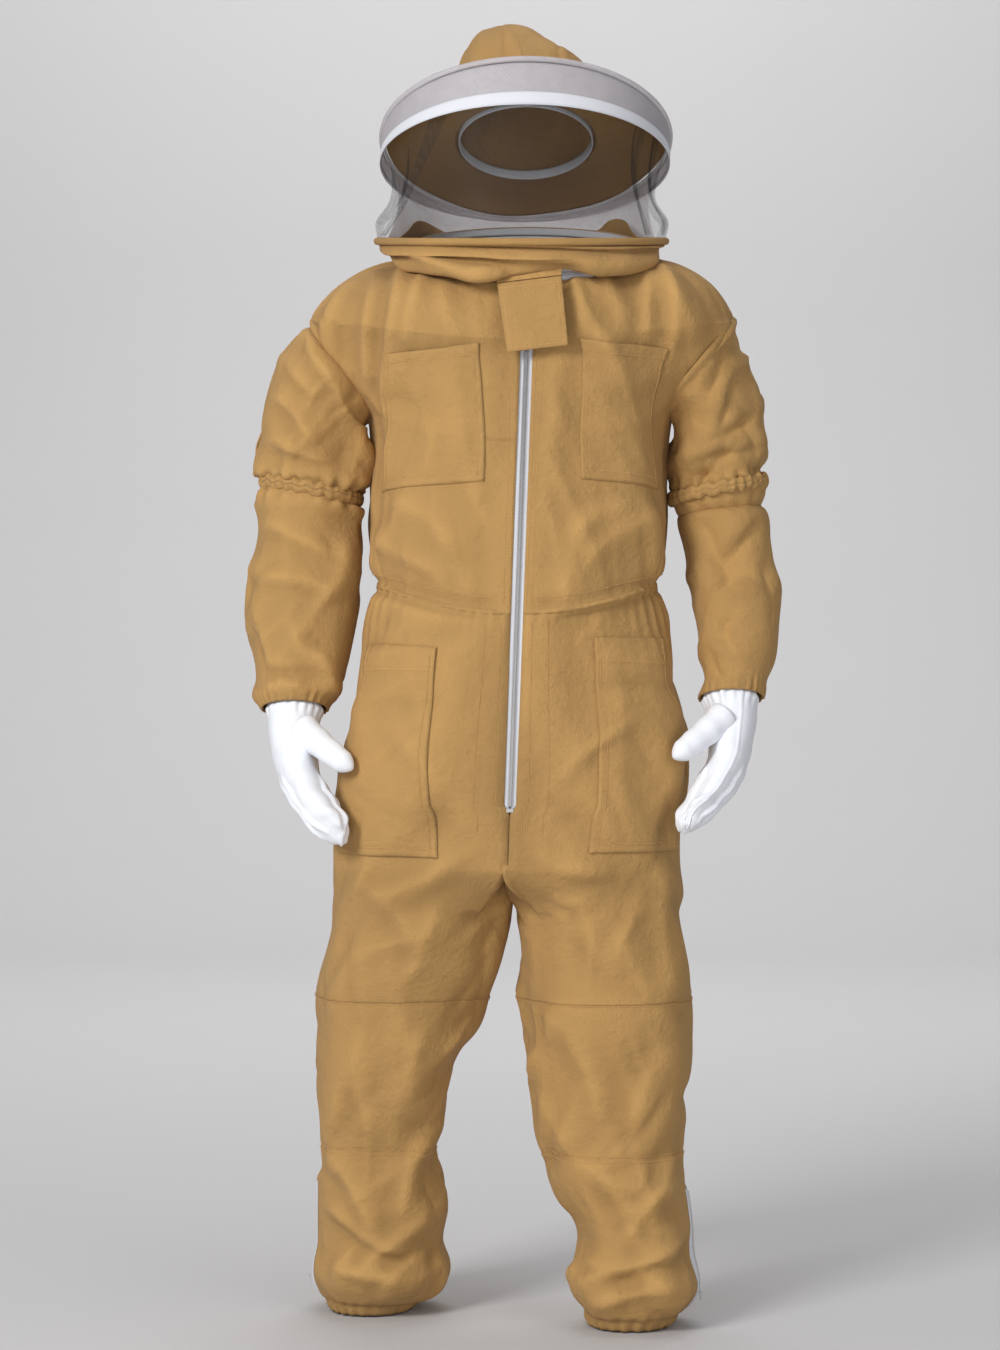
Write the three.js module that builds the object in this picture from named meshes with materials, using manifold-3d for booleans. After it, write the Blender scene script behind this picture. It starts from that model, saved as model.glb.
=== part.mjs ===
// A beekeeping suit: zip-front coverall, zip-on round hood with veil, elasticated sleeves and legs, and gloves.
// Millimetres, +Z up, -Y is the front, +X is the wearer's left. Heights below are above the trouser hems;
// the whole suit is then lowered so that the origin is between the wearer's shoulders, which hold it up.
import * as THREE from "three";
import { mergeVertices } from "three/addons/utils/BufferGeometryUtils.js";
import Module from "manifold-3d";

const { lerp, smoothstep, degToRad, clamp } = THREE.MathUtils;
const V = (x, y, z) => new THREE.Vector3(x, y, z);
const wasm = await Module();
wasm.setup();

// Driving dimensions
const SHOULDER_HEIGHT = 1400; // origin above the hems
const CLOTH = 2.4; // stand-in thickness of one layer of twill
const SEAM = 0.6; // gap between neighbouring panels
const ROUND = 2.4; // exponent of the trunk's rounded section
const SIDES = [
  { side: "right", out: -1 },
  { side: "left", out: 1 },
];

const CROTCH = 568;
const FLY_FOOT = 693; // bottom end of the front zip
const ZIP_TOP = 1366;
const ZIP_HALF = 8; // half of the strip left open for the zip
const WAIST = 945; // centre front of the waist seam
const WAIST_LIFT = 40; // the seam climbs this much towards the side
const HIP_FOLD = [625, 525]; // heights between which the cloth folds at the hip
const HIP_HALF = { left: 238, right: 240 };

const ARMPIT = { x: 206, z: 1215 };
const SHOULDER_TIP = { x: 285, z: 1345 };
const ARMHOLE_DEPTH = 80; // half of the armhole, front to back
const NECK = { centre: V(22, -8, 1430), radius: 156, tilt: 17 };
const HOOP = { centre: V(13, -2, 1453), radius: 195, tilt: 8, wire: 5 };
const BRIM = { centre: V(19, 4, 1590), radius: 195, tilt: -23, wire: 4 };
const HEAD_RADIUS = 96;
const CROWN_HEIGHT = 158;
const BAND = 36; // depth of the white band at the top of the veil
const BACK_TURN = [0.36, 0.64]; // part of the collar that stays at the nape

// Small helpers

// Smooth curve through rows of numbers, read at 0..1 along the rows.
function rows(...table) {
  const width = table[0].length;
  const curves = [];
  for (let k = 0; k < width; k += 3) {
    const points = table.map((r) => V(r[k], r[k + 1] ?? 0, r[k + 2] ?? 0));
    curves.push(new THREE.CatmullRomCurve3(points, false, "catmullrom", 0.5));
  }
  return (t) => curves.flatMap((c) => c.getPoint(clamp(t, 0, 1)).toArray());
}

// Moves every vertex of a geometry and returns it closed, with its faces pointing out.
function bend(geometry, place) {
  const g = geometry.clone();
  const p = g.getAttribute("position");
  for (let i = 0; i < p.count; i++) {
    const q = place(p.getX(i), p.getY(i), p.getZ(i));
    p.setXYZ(i, q.x, q.y, q.z);
  }
  g.deleteAttribute("normal");
  g.deleteAttribute("uv");
  const merged = mergeVertices(g, 1e-3);
  const pos = merged.getAttribute("position");
  const index = merged.index.array;
  const [a, b, c] = [V(0, 0, 0), V(0, 0, 0), V(0, 0, 0)];
  let volume = 0;
  for (let i = 0; i < index.length; i += 3) {
    a.fromBufferAttribute(pos, index[i]);
    b.fromBufferAttribute(pos, index[i + 1]);
    c.fromBufferAttribute(pos, index[i + 2]);
    volume += a.dot(b.cross(c));
  }
  if (volume < 0) index.reverse();
  merged.computeVertexNormals();
  return merged;
}

// A point lifted off a surface along its normal.
function lifted(surface, u, v, lift) {
  const step = 1e-3;
  const du = surface(Math.min(1, u + step), v).sub(surface(Math.max(0, u - step), v));
  const dv = surface(u, Math.min(1, v + step)).sub(surface(u, Math.max(0, v - step)));
  return surface(u, v).addScaledVector(du.cross(dv).normalize(), lift);
}

// An open panel of cloth on a surface, between u0..u1 and v0..v1.
function panel(surface, [u0, u1, nu], [v0, v1, nv], lift = 0, thick = CLOTH) {
  return bend(new THREE.BoxGeometry(1, 1, 1, nu, nv, 1), (x, y, z) =>
    lifted(surface, lerp(u0, u1, x + 0.5), lerp(v0, v1, y + 0.5), lift + thick * z),
  );
}

// A tube of cloth on a surface that closes on itself in u, open at both ends.
function tube(surface, [v0, v1, nv], nu, lift = 0, thick = CLOTH) {
  const wall = Array.from({ length: nv + 1 }, (_, i) => i / nv);
  const profile = [
    ...wall.map((v) => new THREE.Vector2(2, v)),
    ...wall.toReversed().map((v) => new THREE.Vector2(1, v)),
    new THREE.Vector2(2, 0),
  ];
  return bend(new THREE.LatheGeometry(profile, nu), (x, y, z) => {
    const turn = (Math.atan2(x, z) / (2 * Math.PI) + 1) % 1;
    const side = Math.hypot(x, z) > 1.5 ? 0.5 : -0.5;
    return lifted(surface, turn, lerp(v0, v1, y), lift + side * thick);
  });
}

// A point of a tilted ring: turn 0 is the front and 0.25 the wearer's left; tilt lowers the front.
function onRing({ centre, radius, tilt }, turn, out = 0, up = 0) {
  const a = turn * 2 * Math.PI;
  const [c, s] = [Math.cos(degToRad(tilt)), Math.sin(degToRad(tilt))];
  const r = radius + out;
  return V(r * Math.sin(a), -c * r * Math.cos(a) - s * up, -s * r * Math.cos(a) + c * up).add(centre);
}

function toSolid(geometry) {
  const g = geometry.clone();
  for (const name of Object.keys(g.attributes)) if (name !== "position") g.deleteAttribute(name);
  const merged = mergeVertices(g, 1e-3);
  const mesh = { numProp: 3, vertProperties: merged.getAttribute("position").array };
  return new wasm.Manifold(new wasm.Mesh({ ...mesh, triVerts: new Uint32Array(merged.index.array) }));
}

function fromSolid(solid) {
  const mesh = solid.getMesh();
  const g = new THREE.BufferGeometry();
  g.setAttribute("position", new THREE.BufferAttribute(mesh.vertProperties, mesh.numProp));
  g.setIndex(new THREE.BufferAttribute(mesh.triVerts, 1));
  g.computeVertexNormals();
  return g;
}

// Materials
const finish = (color, roughness, metalness = 0) =>
  new THREE.MeshStandardMaterial({ color, roughness, metalness });
const TWILL = finish(0xb58a4f, 0.85);
const WHITE_TAPE = finish(0xf2f2f0, 0.8);
const WHITE_MESH = finish(0xd9d4d6, 0.8);
const BLACK_MESH = finish(0x25282c, 0.7);
const STEEL = finish(0x9a9a9c, 0.35, 1);
const LEATHER = finish(0xf4f5f6, 0.6);
const HOOK_LOOP = finish(0x9a7443, 0.95);

const suit = new THREE.Group();
suit.position.z = -SHOULDER_HEIGHT;
function add(name, geometry, material) {
  const mesh = new THREE.Mesh(geometry, material);
  mesh.name = name;
  suit.add(mesh);
  return mesh;
}

// Trunk: straight zip line, rounded section, and edges that run from the side over the armhole to the neck

const frontEnd = onRing(NECK, 0);
const zipFoot = V(-3, -150, FLY_FOOT);
const zipX = (z) => zipFoot.x + ((z - FLY_FOOT) * (frontEnd.x - zipFoot.x)) / (frontEnd.z - FLY_FOOT);
const zipY = (z) => zipFoot.y + ((z - FLY_FOOT) * (frontEnd.y - zipFoot.y)) / (frontEnd.z - FLY_FOOT);
const bodyX = (z) => 0.022 * Math.max(0, z - 700);
const openStrip = (z) => lerp(SEAM / 2, ZIP_HALF, smoothstep(z, FLY_FOOT - 12, FLY_FOOT + 4));
const ARMHOLE_SPAN = [0.35, 0.7];

// Side edge of the bodice: half-width, height, and how far back the middle of the back is.
const sideEdge = rows(
  [190, WAIST + WAIST_LIFT, 108],
  [199, 1082, 122],
  [ARMPIT.x, ARMPIT.z, 134],
  [(ARMPIT.x + SHOULDER_TIP.x) / 2, (ARMPIT.z + SHOULDER_TIP.z) / 2, 136],
  [SHOULDER_TIP.x, SHOULDER_TIP.z, 136],
  [226, 1408, 137],
  [NECK.radius, 1432, 140],
);
const EDGE_KNOTS = [0, 0.175, 0.35, 0.525, 0.7, 0.85, 1];
const CENTRE_KNOTS = [WAIST, 1060, 1175, 1245, 1305, 1350, frontEnd.z];
const BACK_KNOTS = [WAIST, 1080, 1200, 1275, 1350, 1420, 1475];

function knotShare(t, knots) {
  const k = Math.min(knots.length - 2, knots.findLastIndex((x) => x <= clamp(t, 0, 0.9999)));
  return (k + (clamp(t, 0, 1) - knots[k]) / (knots[k + 1] - knots[k])) / (knots.length - 1);
}
function readKnots(values, share) {
  const k = Math.min(values.length - 2, Math.floor(share * (values.length - 1)));
  return lerp(values[k], values[k + 1], share * (values.length - 1) - k);
}

// A point of the bodice: s 0 at the centre, 1 at the edge; t 0 at the waist, 1 at the neckline.
function bodicePoint(out, back, s, t) {
  const share = knotShare(t, EDGE_KNOTS);
  const [half, edgeZ, backDepth] = sideEdge(share);
  const midZ = readKnots(back ? BACK_KNOTS : CENTRE_KNOTS, share);
  const [a0, a1] = ARMHOLE_SPAN;
  const along = clamp((2 * (t - a0)) / (a1 - a0) - 1, -1, 1);
  const open = ARMHOLE_DEPTH * Math.sqrt(1 - along * along);
  const edge = SEAM / 2 + open;
  const depth = back ? backDepth : -zipY(midZ);
  const round = Math.pow(Math.max(0, 1 - Math.pow(s, ROUND)), 1 / ROUND);
  const profile = lerp(round, 1 - s * s, open / ARMHOLE_DEPTH);
  const start = back ? 0 : ZIP_HALF;
  const x0 = back ? bodyX(midZ) : zipX(midZ) + out * start;
  const x1 = bodyX(edgeZ) + out * half;
  const z = lerp(midZ, edgeZ, s * s);
  const p = V(lerp(x0, x1, s), (back ? 1 : -1) * (edge + (depth - edge) * profile), z);
  const turn = back ? 0.5 - out * 0.248 * s : out * lerp(0.008, 0.248, s);
  const collarLine = onRing(NECK, turn, 2.8, -10);
  return p.lerp(collarLine, smoothstep(t, 0.78, 1));
}
const spread = (u) => Math.sin((u * Math.PI) / 2);
const bodiceFront = (out) => (u, v) =>
  bodicePoint(out, false, out > 0 ? spread(u) : spread(1 - u), v);
const bodiceBack = (u, v) => bodicePoint(u < 0.5 ? 1 : -1, true, spread(Math.abs(1 - 2 * u)), v);

add("bodice_front_right", panel(bodiceFront(-1), [0, 1, 9], [0.004, 1, 16]), TWILL);
add("bodice_front_left", panel(bodiceFront(1), [0, 1, 9], [0.004, 1, 16]), TWILL);
add("bodice_back", panel(bodiceBack, [0, 1, 16], [0.004, 1, 16]), TWILL);

// Trousers: each half is a rounded half-trunk that turns into a leg tube below the crotch

// Rows of a leg: centre x (from the body's middle), centre y, height, half-width, half-depth.
const legRows = {
  right: rows(
    [-122, 0, 600, 120, 126],
    [-129, 2, 520, 114, 120],
    [-147, 8, 436, 110, 110],
    [-171, 14, 330, 96, 98],
    [-181, 26, 230, 84, 90],
    [-178, 38, 150, 84, 86],
    [-184, 46, 95, 78, 80],
    [-186, 50, 45, 82, 84],
    [-194, 50, 0, 54, 60],
  ),
  left: rows(
    [118, 0, 600, 120, 126],
    [117, -4, 520, 115, 120],
    [121, -12, 436, 112, 110],
    [127, -24, 330, 104, 98],
    [134, -36, 230, 90, 90],
    [152, -46, 150, 82, 86],
    [162, -52, 95, 76, 80],
    [162, -54, 45, 82, 84],
    [156, -54, 0, 54, 60],
  ),
};
const LEG_HEIGHTS = [600, 520, 436, 330, 230, 150, 95, 45, 0];

function legShare(z) {
  const k = clamp(LEG_HEIGHTS.findLastIndex((h) => h >= z), 0, LEG_HEIGHTS.length - 2);
  return (k + (LEG_HEIGHTS[k] - z) / (LEG_HEIGHTS[k] - LEG_HEIGHTS[k + 1])) / (LEG_HEIGHTS.length - 1);
}

// Angle of a section point: u 0..0.5 runs from the front seam over the outside to the back seam,
// and u 0.5..1 back along the inside of the leg.
const legAngle = (u) => (u < 0.5 ? lerp(-135, 135, u * 2) : lerp(135, 225, u * 2 - 1));
const power = (x, e) => Math.sign(x) * Math.pow(Math.abs(x), e);

function trouserPoint(side, out, u, h) {
  const centre = zipX(h);
  const half = lerp(HIP_HALF[side], 191 + out * 7, smoothstep(h, 700, WAIST + 20));
  const underFly = clamp((FLY_FOOT - h) / 300, 0, 0.9);
  const front = -zipY(Math.max(h, FLY_FOOT)) * Math.sqrt(1 - underFly * underFly);
  const back = lerp(150, 108, smoothstep(h, 760, WAIST));
  // the half-trunk
  const a = degToRad(u < 0.5 ? lerp(-90, 90, u * 2) : lerp(90, 270, u * 2 - 1));
  const across = u < 0.5 ? power(Math.cos(a), 2 / ROUND) : 0;
  const depth = power(Math.sin(a), u < 0.5 ? 2 / ROUND : 1);
  const seamGap = depth < 0 ? openStrip(h) : SEAM / 2;
  const gap = u > 0.5 ? CLOTH / 2 + SEAM : seamGap;
  const x = centre + out * (gap + across * (half - gap - out * centre));
  const y = depth * (depth < 0 ? front : back);
  const trunk = V(x, y, h + WAIST_LIFT * smoothstep(h, 790, WAIST) * across * across);
  // the leg
  const [cx, cy, , rx, ry] = legRows[side](legShare(Math.min(600, h)));
  const b = degToRad(legAngle(u));
  const leg = V(cx + out * rx * power(Math.cos(b), 0.92), cy + ry * power(Math.sin(b), 0.92), h);
  const inner = zipX(h) + out * 2.4;
  if (out * (leg.x - inner) < 0) leg.x = inner;
  return trunk.lerp(leg, 1 - smoothstep(h, CROTCH - 16, CROTCH + 92));
}
// Surfaces with v growing upwards, between two heights.
const trouser = (side, out, low, high) => (u, v) =>
  trouserPoint(side, out, out > 0 ? u : (1 - u + 0) % 1, lerp(low, high, v));

const PATCH_LIFT = CLOTH + SEAM;
const HIP_STEP = 0.031; // share of the section per column of a hip panel
const mirror = (out, a, b, steps) => (out > 0 ? [a, b, steps] : [1 - b, 1 - a, steps]);
for (const { side, out } of SIDES) {
  const [foldTop, foldFoot] = HIP_FOLD;
  const yoke = trouser(side, out, foldTop + SEAM, WAIST - SEAM);
  const pocketSpan = mirror(out, 0.001 + 2 * HIP_STEP, 0.001 + 7 * HIP_STEP, 5);
  add(`hip_front_${side}`, panel(yoke, mirror(out, 0.001, 0.001 + 8 * HIP_STEP, 8), [0, 1, 8]), TWILL);
  add(`hip_back_${side}`, panel(yoke, mirror(out, 0.251, 0.499, 8), [0, 1, 8]), TWILL);
  add(`hip_pocket_${side}`, panel(yoke, pocketSpan, [0, 7 / 8, 7], PATCH_LIFT + 1.4), TWILL);
  add(`hip_fold_${side}`, tube(trouser(side, out, foldFoot, foldTop), [0, 1, 3], 20), TWILL);
}

const KNEE_FOLD = [402, 272];
const HEM = 0;
const flatHem = (g) => bend(g, (x, y, z) => V(x, y, Math.abs(z - HEM) < 3 ? HEM : z));
for (const { side, out } of SIDES) {
  const [kneeTop, kneeFoot] = KNEE_FOLD;
  const leg = (low, high, steps) => tube(trouser(side, out, low, high), [0, 1, steps], 18);
  add(`thigh_${side}`, leg(kneeTop + SEAM, HIP_FOLD[1] - SEAM, 3), TWILL);
  add(`knee_fold_${side}`, leg(kneeFoot, kneeTop, 3), TWILL);
  add(`shin_${side}`, flatHem(leg(HEM, kneeFoot - SEAM, 7)), TWILL);
}

// Ankle zips on the outer side of each shin
const ANKLE_ZIP = [28, 175];
for (const { side, out } of SIDES) {
  const surface = trouser(side, out, ANKLE_ZIP[0], ANKLE_ZIP[1]);
  const middle = out > 0 ? 0.25 : 0.75;
  const tape = panel(surface, [middle - 0.022, middle + 0.022, 2], [0, 1, 7], CLOTH / 2 + 2.2, 1.6);
  add(`ankle_zip_${side}`, tape, WHITE_TAPE);
}

// Front zip

const zipAxis = frontEnd.clone().sub(zipFoot).normalize();
const zipTurn = new THREE.Quaternion().setFromUnitVectors(V(0, 0, 1), zipAxis);
const onZip = (z, x, y) => V(x, y, 0).applyQuaternion(zipTurn).add(V(zipX(z), zipY(z), z));
const CHAIN = { width: 6.4, depth: 3 };
const ZIP_LENGTH = (ZIP_TOP - FLY_FOOT) / zipAxis.z;

function zipBar(width, depth, x, y) {
  const bar = new THREE.BoxGeometry(width, depth, ZIP_LENGTH, 1, 1, 1);
  const middle = onZip((ZIP_TOP + FLY_FOOT) / 2, x, y);
  return bend(bar, (px, py, pz) => V(px, py, pz).applyQuaternion(zipTurn).add(middle));
}
for (const { side, out } of SIDES)
  add(`zip_tape_${side}`, zipBar(10, 1.2, out * (CHAIN.width / 2 + 5.4), 3.2), WHITE_TAPE);
add("zip_chain", zipBar(CHAIN.width, CHAIN.depth, 0, 0.4), STEEL);

function bottomStop() {
  const centre = onZip(FLY_FOOT - 4, 0, 0.4);
  return bend(new THREE.BoxGeometry(9, 3.4, 5, 1, 1, 1), (x, y, z) => V(x, y, z).add(centre));
}
add("zip_bottom_stop", bottomStop(), STEEL);

// A slider is a channel that rides over the chain, with a crown and a bridge for its puller.
function sliderGeometry(length) {
  const outline = new THREE.Shape();
  const [half, inner, top] = [CHAIN.width / 2 + 2.6, CHAIN.width / 2 + 0.6, 5.4];
  outline.moveTo(-half, 0).lineTo(-inner, 0).lineTo(-inner, 3).lineTo(inner, 3).lineTo(inner, 0);
  outline.lineTo(half, 0).lineTo(half, 3.6).lineTo(half - 1.8, top).lineTo(1.8 - half, top);
  outline.lineTo(-half, 3.6).closePath();
  const body = new THREE.ExtrudeGeometry(outline, { depth: length, bevelEnabled: false });
  const bridge = new THREE.TorusGeometry(2.2, 0.8, 5, 10, Math.PI * 2);
  const upright = bend(bridge, (x, y, z) => V(z, top + y * 0.8 + 0.4, length * 0.6 + x));
  return fromSolid(toSolid(body).add(toSolid(upright)));
}
const SLIDER_LENGTH = 13;
const SLIDER_Z = 1350;
add(
  "zip_slider",
  bend(sliderGeometry(SLIDER_LENGTH), (x, y, z) => onZip(SLIDER_Z + z - SLIDER_LENGTH, x, -y - 0.4 + 1)),
  STEEL,
);

function pullerGeometry() {
  const tab = new THREE.Shape();
  tab.moveTo(-2.2, 0).lineTo(2.2, 0).lineTo(3.4, -24);
  tab.absarc(0, -24, 3.4, 0, Math.PI, true);
  tab.lineTo(-2.2, 0);
  const slot = new THREE.Path();
  slot.absarc(0, -23, 1.5, 0, Math.PI * 2, false);
  tab.holes.push(slot);
  return new THREE.ExtrudeGeometry(tab, { depth: 1.4, bevelEnabled: false, curveSegments: 6 });
}
add(
  "zip_puller",
  bend(pullerGeometry(), (x, y, z) => onZip(SLIDER_Z - SLIDER_LENGTH * 0.4 - 4.3 + y, x, -8.4 + z + 0.6)),
  STEEL,
);

// Pockets: patches laid on the cloth

// Patch of the front between two distances from the zip and two heights: Newton's method finds (s, t).
function frontPatch(out, [x0, x1], [z0, z1]) {
  return (u, v) => {
    const across = out > 0 ? lerp(x0, x1, u) : lerp(x1, x0, u);
    const height = lerp(z0, z1, v);
    let [s, t] = [0.5, 0.5];
    const miss = (a, b) => {
      const p = bodicePoint(out, false, a, b);
      return [out * (p.x - zipX(height)) - across, p.z - height];
    };
    for (let k = 0; k < 12; k++) {
      const [f, g] = miss(s, t);
      const [fs, gs] = miss(s + 1e-4, t).map((value, i) => (value - [f, g][i]) / 1e-4);
      const [ft, gt] = miss(s, t + 1e-4).map((value, i) => (value - [f, g][i]) / 1e-4);
      const det = fs * gt - ft * gs;
      s = clamp(s - (gt * f - ft * g) / det, 0.02, 0.97);
      t = clamp(t - (fs * g - gs * f) / det, 0.02, 0.97);
    }
    return bodicePoint(out, false, s, t);
  };
}
const CHEST_POCKET = { across: [58, 184], height: [1120, 1310] };
for (const { side, out } of SIDES) {
  const surface = frontPatch(out, CHEST_POCKET.across, CHEST_POCKET.height);
  add(`chest_pocket_${side}`, panel(surface, [0, 1, 8], [0, 1, 9], PATCH_LIFT + 3), TWILL);
}
// Sleeves

// Rows: centre x, y, z; half across, half front to back, lean of the section from level in degrees.
const armholeLean = THREE.MathUtils.radToDeg(
  Math.atan2(SHOULDER_TIP.z - ARMPIT.z, SHOULDER_TIP.x - ARMPIT.x),
);
const armholeHalf = Math.hypot(SHOULDER_TIP.z - ARMPIT.z, SHOULDER_TIP.x - ARMPIT.x) / 2;
const armholeX = (ARMPIT.x + SHOULDER_TIP.x) / 2;
const armholeZ = (ARMPIT.z + SHOULDER_TIP.z) / 2;
const ELBOW_SEAM = 1116;
const upperRows = {
  right: rows(
    [bodyX(armholeZ) - armholeX, 0, armholeZ, armholeHalf, ARMHOLE_DEPTH, armholeLean],
    [-257, 2, 1240, 67, 80, 40],
    [-267, 5, 1185, 72, 78, 14],
    [-270, 9, 1140, 67, 70, 3],
    [-272, 10, ELBOW_SEAM + 4, 61, 62, 0],
  ),
  left: rows(
    [bodyX(armholeZ) + armholeX, 0, armholeZ, armholeHalf, ARMHOLE_DEPTH, armholeLean],
    [274, 2, 1240, 69, 80, 40],
    [280, 5, 1185, 68, 78, 14],
    [279, 9, 1140, 65, 70, 3],
    [279, 10, ELBOW_SEAM + 4, 60, 62, 0],
  ),
};
// Lower sleeve rows: the lean is now the forward tilt of the forearm.
const lowerRows = {
  right: rows(
    [-273, 10, ELBOW_SEAM - 6, 63, 64, 0],
    [-277, 12, 1080, 75, 74, 2],
    [-282, 8, 1010, 74, 70, 6],
    [-286, -5, 940, 66, 62, 10],
    [-291, -23, 873, 55, 54, 15],
    [-292, -38, 820, 44, 46, 16],
  ),
  left: rows(
    [280, 10, ELBOW_SEAM - 6, 62, 64, 0],
    [286, 12, 1085, 74, 74, 2],
    [294, 8, 1022, 67, 70, 6],
    [300, -5, 956, 60, 62, 10],
    [301, -23, 890, 53, 54, 15],
    [294, -38, 835, 43, 46, 16],
  ),
};
// v grows from the armhole or elbow down the arm.
function upperSleeve(side, out) {
  return (u, v) => {
    const [x, y, z, half, deep, lean] = upperRows[side](v);
    const a = -u * 2 * Math.PI;
    const [c, s] = [Math.cos(degToRad(lean)), Math.sin(degToRad(lean))];
    const across = half * Math.cos(a);
    return V(x + out * c * across, y + out * deep * Math.sin(a), z + s * across);
  };
}
function lowerSleeve(side, out) {
  return (u, v) => {
    const [x, y, z, half, deep, tilt] = lowerRows[side](v);
    const a = -u * 2 * Math.PI;
    const [c, s] = [Math.cos(degToRad(tilt)), Math.sin(degToRad(tilt))];
    const back = out * deep * Math.sin(a);
    return V(x + out * half * Math.cos(a), y + c * back, z - s * back);
  };
}
const ELBOW_FOLD_END = 0.37; // share of the lower sleeve that folds at the elbow
for (const { side, out } of SIDES) {
  add(`upper_sleeve_${side}`, tube(upperSleeve(side, out), [0.066, 0.97, 7], 18), TWILL);
  add(`elbow_elastic_${side}`, tube(upperSleeve(side, out), [0.9, 0.985, 1], 18, CLOTH + 1, 1.8), TWILL);
  add(`elbow_fold_${side}`, tube(lowerSleeve(side, out), [0, ELBOW_FOLD_END - 0.004, 3], 18), TWILL);
  add(`forearm_sleeve_${side}`, tube(lowerSleeve(side, out), [ELBOW_FOLD_END, 1, 6], 18), TWILL);
}
const sleevePocket = panel(upperSleeve("right", -1), [0.015, 0.19, 4], [0.3, 0.86, 6], PATCH_LIFT + 1.4);
add("sleeve_pocket_right", sleevePocket, TWILL);

// Gloves: a leather bag for the hand, whose gauntlet goes up inside the sleeve, joined to a thumb

// Rows: distance down from the sleeve's end, inwards, forwards, half-thickness, half-breadth.
const gloveRows = rows(
  [-62, 0, 0, 33, 36, 0],
  [0, 0, 0, 34, 38, 0],
  [45, 1, 4, 31, 43, 0],
  [95, 9, 14, 27, 44, 0],
  [140, 32, 26, 24, 38, 0],
  [172, 54, 34, 18, 28, 0],
  [188, 64, 38, 4, 6, 0],
);
const GLOVE_TILT = 16;
function gloveFrame(side, out) {
  const [x, y, z] = lowerRows[side](1);
  const down = V(0, -Math.sin(degToRad(GLOVE_TILT)), -Math.cos(degToRad(GLOVE_TILT)));
  const ahead = V(0, -Math.cos(degToRad(GLOVE_TILT)), Math.sin(degToRad(GLOVE_TILT)));
  return (d, inwards, forwards) =>
    V(x - out * inwards, y, z).addScaledVector(down, d).addScaledVector(ahead, forwards);
}
function gloveBag(side, out) {
  const frame = gloveFrame(side, out);
  const steps = Array.from({ length: 9 }, (_, i) => i / 8);
  const profile = [
    new THREE.Vector2(0, 1),
    ...steps.toReversed().map((v) => new THREE.Vector2(2, v)),
    ...steps.map((v) => new THREE.Vector2(1, v * 0.985)),
    new THREE.Vector2(0, 0.985),
  ];
  return bend(new THREE.LatheGeometry(profile, 14), (x, y, z) => {
    const r = Math.hypot(x, z);
    const a = Math.atan2(x, z);
    const [d, inwards, forwards, thick, broad] = gloveRows(y);
    const wall = r > 1.5 ? 0 : r > 0.5 ? 1.6 : 0;
    const size = r > 0.5 ? 1 : 0;
    return frame(d, inwards + size * (thick - wall) * Math.cos(a), forwards + size * (broad - wall) * Math.sin(a));
  });
}
function thumb(side, out) {
  const frame = gloveFrame(side, out);
  const capsule = new THREE.CapsuleGeometry(15, 58, 3, 10);
  return bend(capsule, (x, y, z) => frame(78 - y * 0.72, 44 - y * 0.62 - x * 0.9, 34 + z * 1.05 - y * 0.2));
}
// The space inside a glove, used to keep the thumb's root out of it.
function hollowOf(side, out) {
  const frame = gloveFrame(side, out);
  const steps = Array.from({ length: 9 }, (_, i) => i / 8);
  const profile = [
    new THREE.Vector2(0, 1),
    ...steps.toReversed().map((v) => new THREE.Vector2(1, v)),
    new THREE.Vector2(0, 0),
  ];
  const core = bend(new THREE.LatheGeometry(profile, 14), (x, y, z) => {
    const size = Math.hypot(x, z) > 0.5 ? 1 : 0;
    const a = Math.atan2(x, z);
    const [d, inwards, forwards, thick, broad] = gloveRows(y);
    return frame(d, inwards + size * (thick - 1) * Math.cos(a), forwards + size * (broad - 1) * Math.sin(a));
  });
  return toSolid(core);
}

for (const { side, out } of SIDES) {
  const outerThumb = toSolid(thumb(side, out)).subtract(hollowOf(side, out));
  add(`glove_${side}`, fromSolid(toSolid(gloveBag(side, out)).add(outerThumb)), LEATHER);
}

// Neck zip: a ring of chain between the body's tape below and the hood's tape above

const NECK_CHAIN = { half: 2.4, depth: 3 };
function ringBar(radiusOut, up, width, height, ringOf, steps = 40) {
  const [w, h] = [width / 2, height / 2];
  const profile = [[-w, -h], [w, -h], [w, h], [-w, h], [-w, -h]].map(([a, b]) => new THREE.Vector2(10 + a, b));
  return bend(new THREE.LatheGeometry(profile, steps), (x, y, z) => {
    const turn = (Math.atan2(x, z) / (2 * Math.PI) + 1) % 1;
    return onRing(ringOf, turn, radiusOut + Math.hypot(x, z) - 10, up + y);
  });
}
add("neck_zip_chain", ringBar(0, 4, NECK_CHAIN.depth, 2 * NECK_CHAIN.half, NECK), STEEL);
add("neck_zip_tape_body", ringBar(-2.4, -3.4, 1.2, 9, NECK), WHITE_TAPE);
const hoodTape = (from, to) => (u, v) => onRing(NECK, lerp(from, to, u), -2.4, lerp(6.9, 15.9, v));
add("neck_zip_tape_hood", panel(hoodTape(-BACK_TURN[0], BACK_TURN[0]), [0, 1, 30], [0, 1, 1], 0, 1.2), WHITE_TAPE);
add("neck_zip_tape_nape", panel(hoodTape(...BACK_TURN), [0.012, 0.988, 12], [0, 1, 1], 0, 1.2), WHITE_TAPE);

const NECK_SLIDER_TURN = 0.022;
const NECK_SLIDER_LENGTH = 10;
for (const { side, out } of SIDES) {
  const geometry = bend(sliderGeometry(NECK_SLIDER_LENGTH), (x, y, z) => {
    const turn = out * (NECK_SLIDER_TURN + z / (2 * Math.PI * NECK.radius));
    return onRing(NECK, turn, y + 0.4, 4 + x * 0.9);
  });
  add(`neck_slider_${side}`, geometry, STEEL);
}

// Hood

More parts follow.
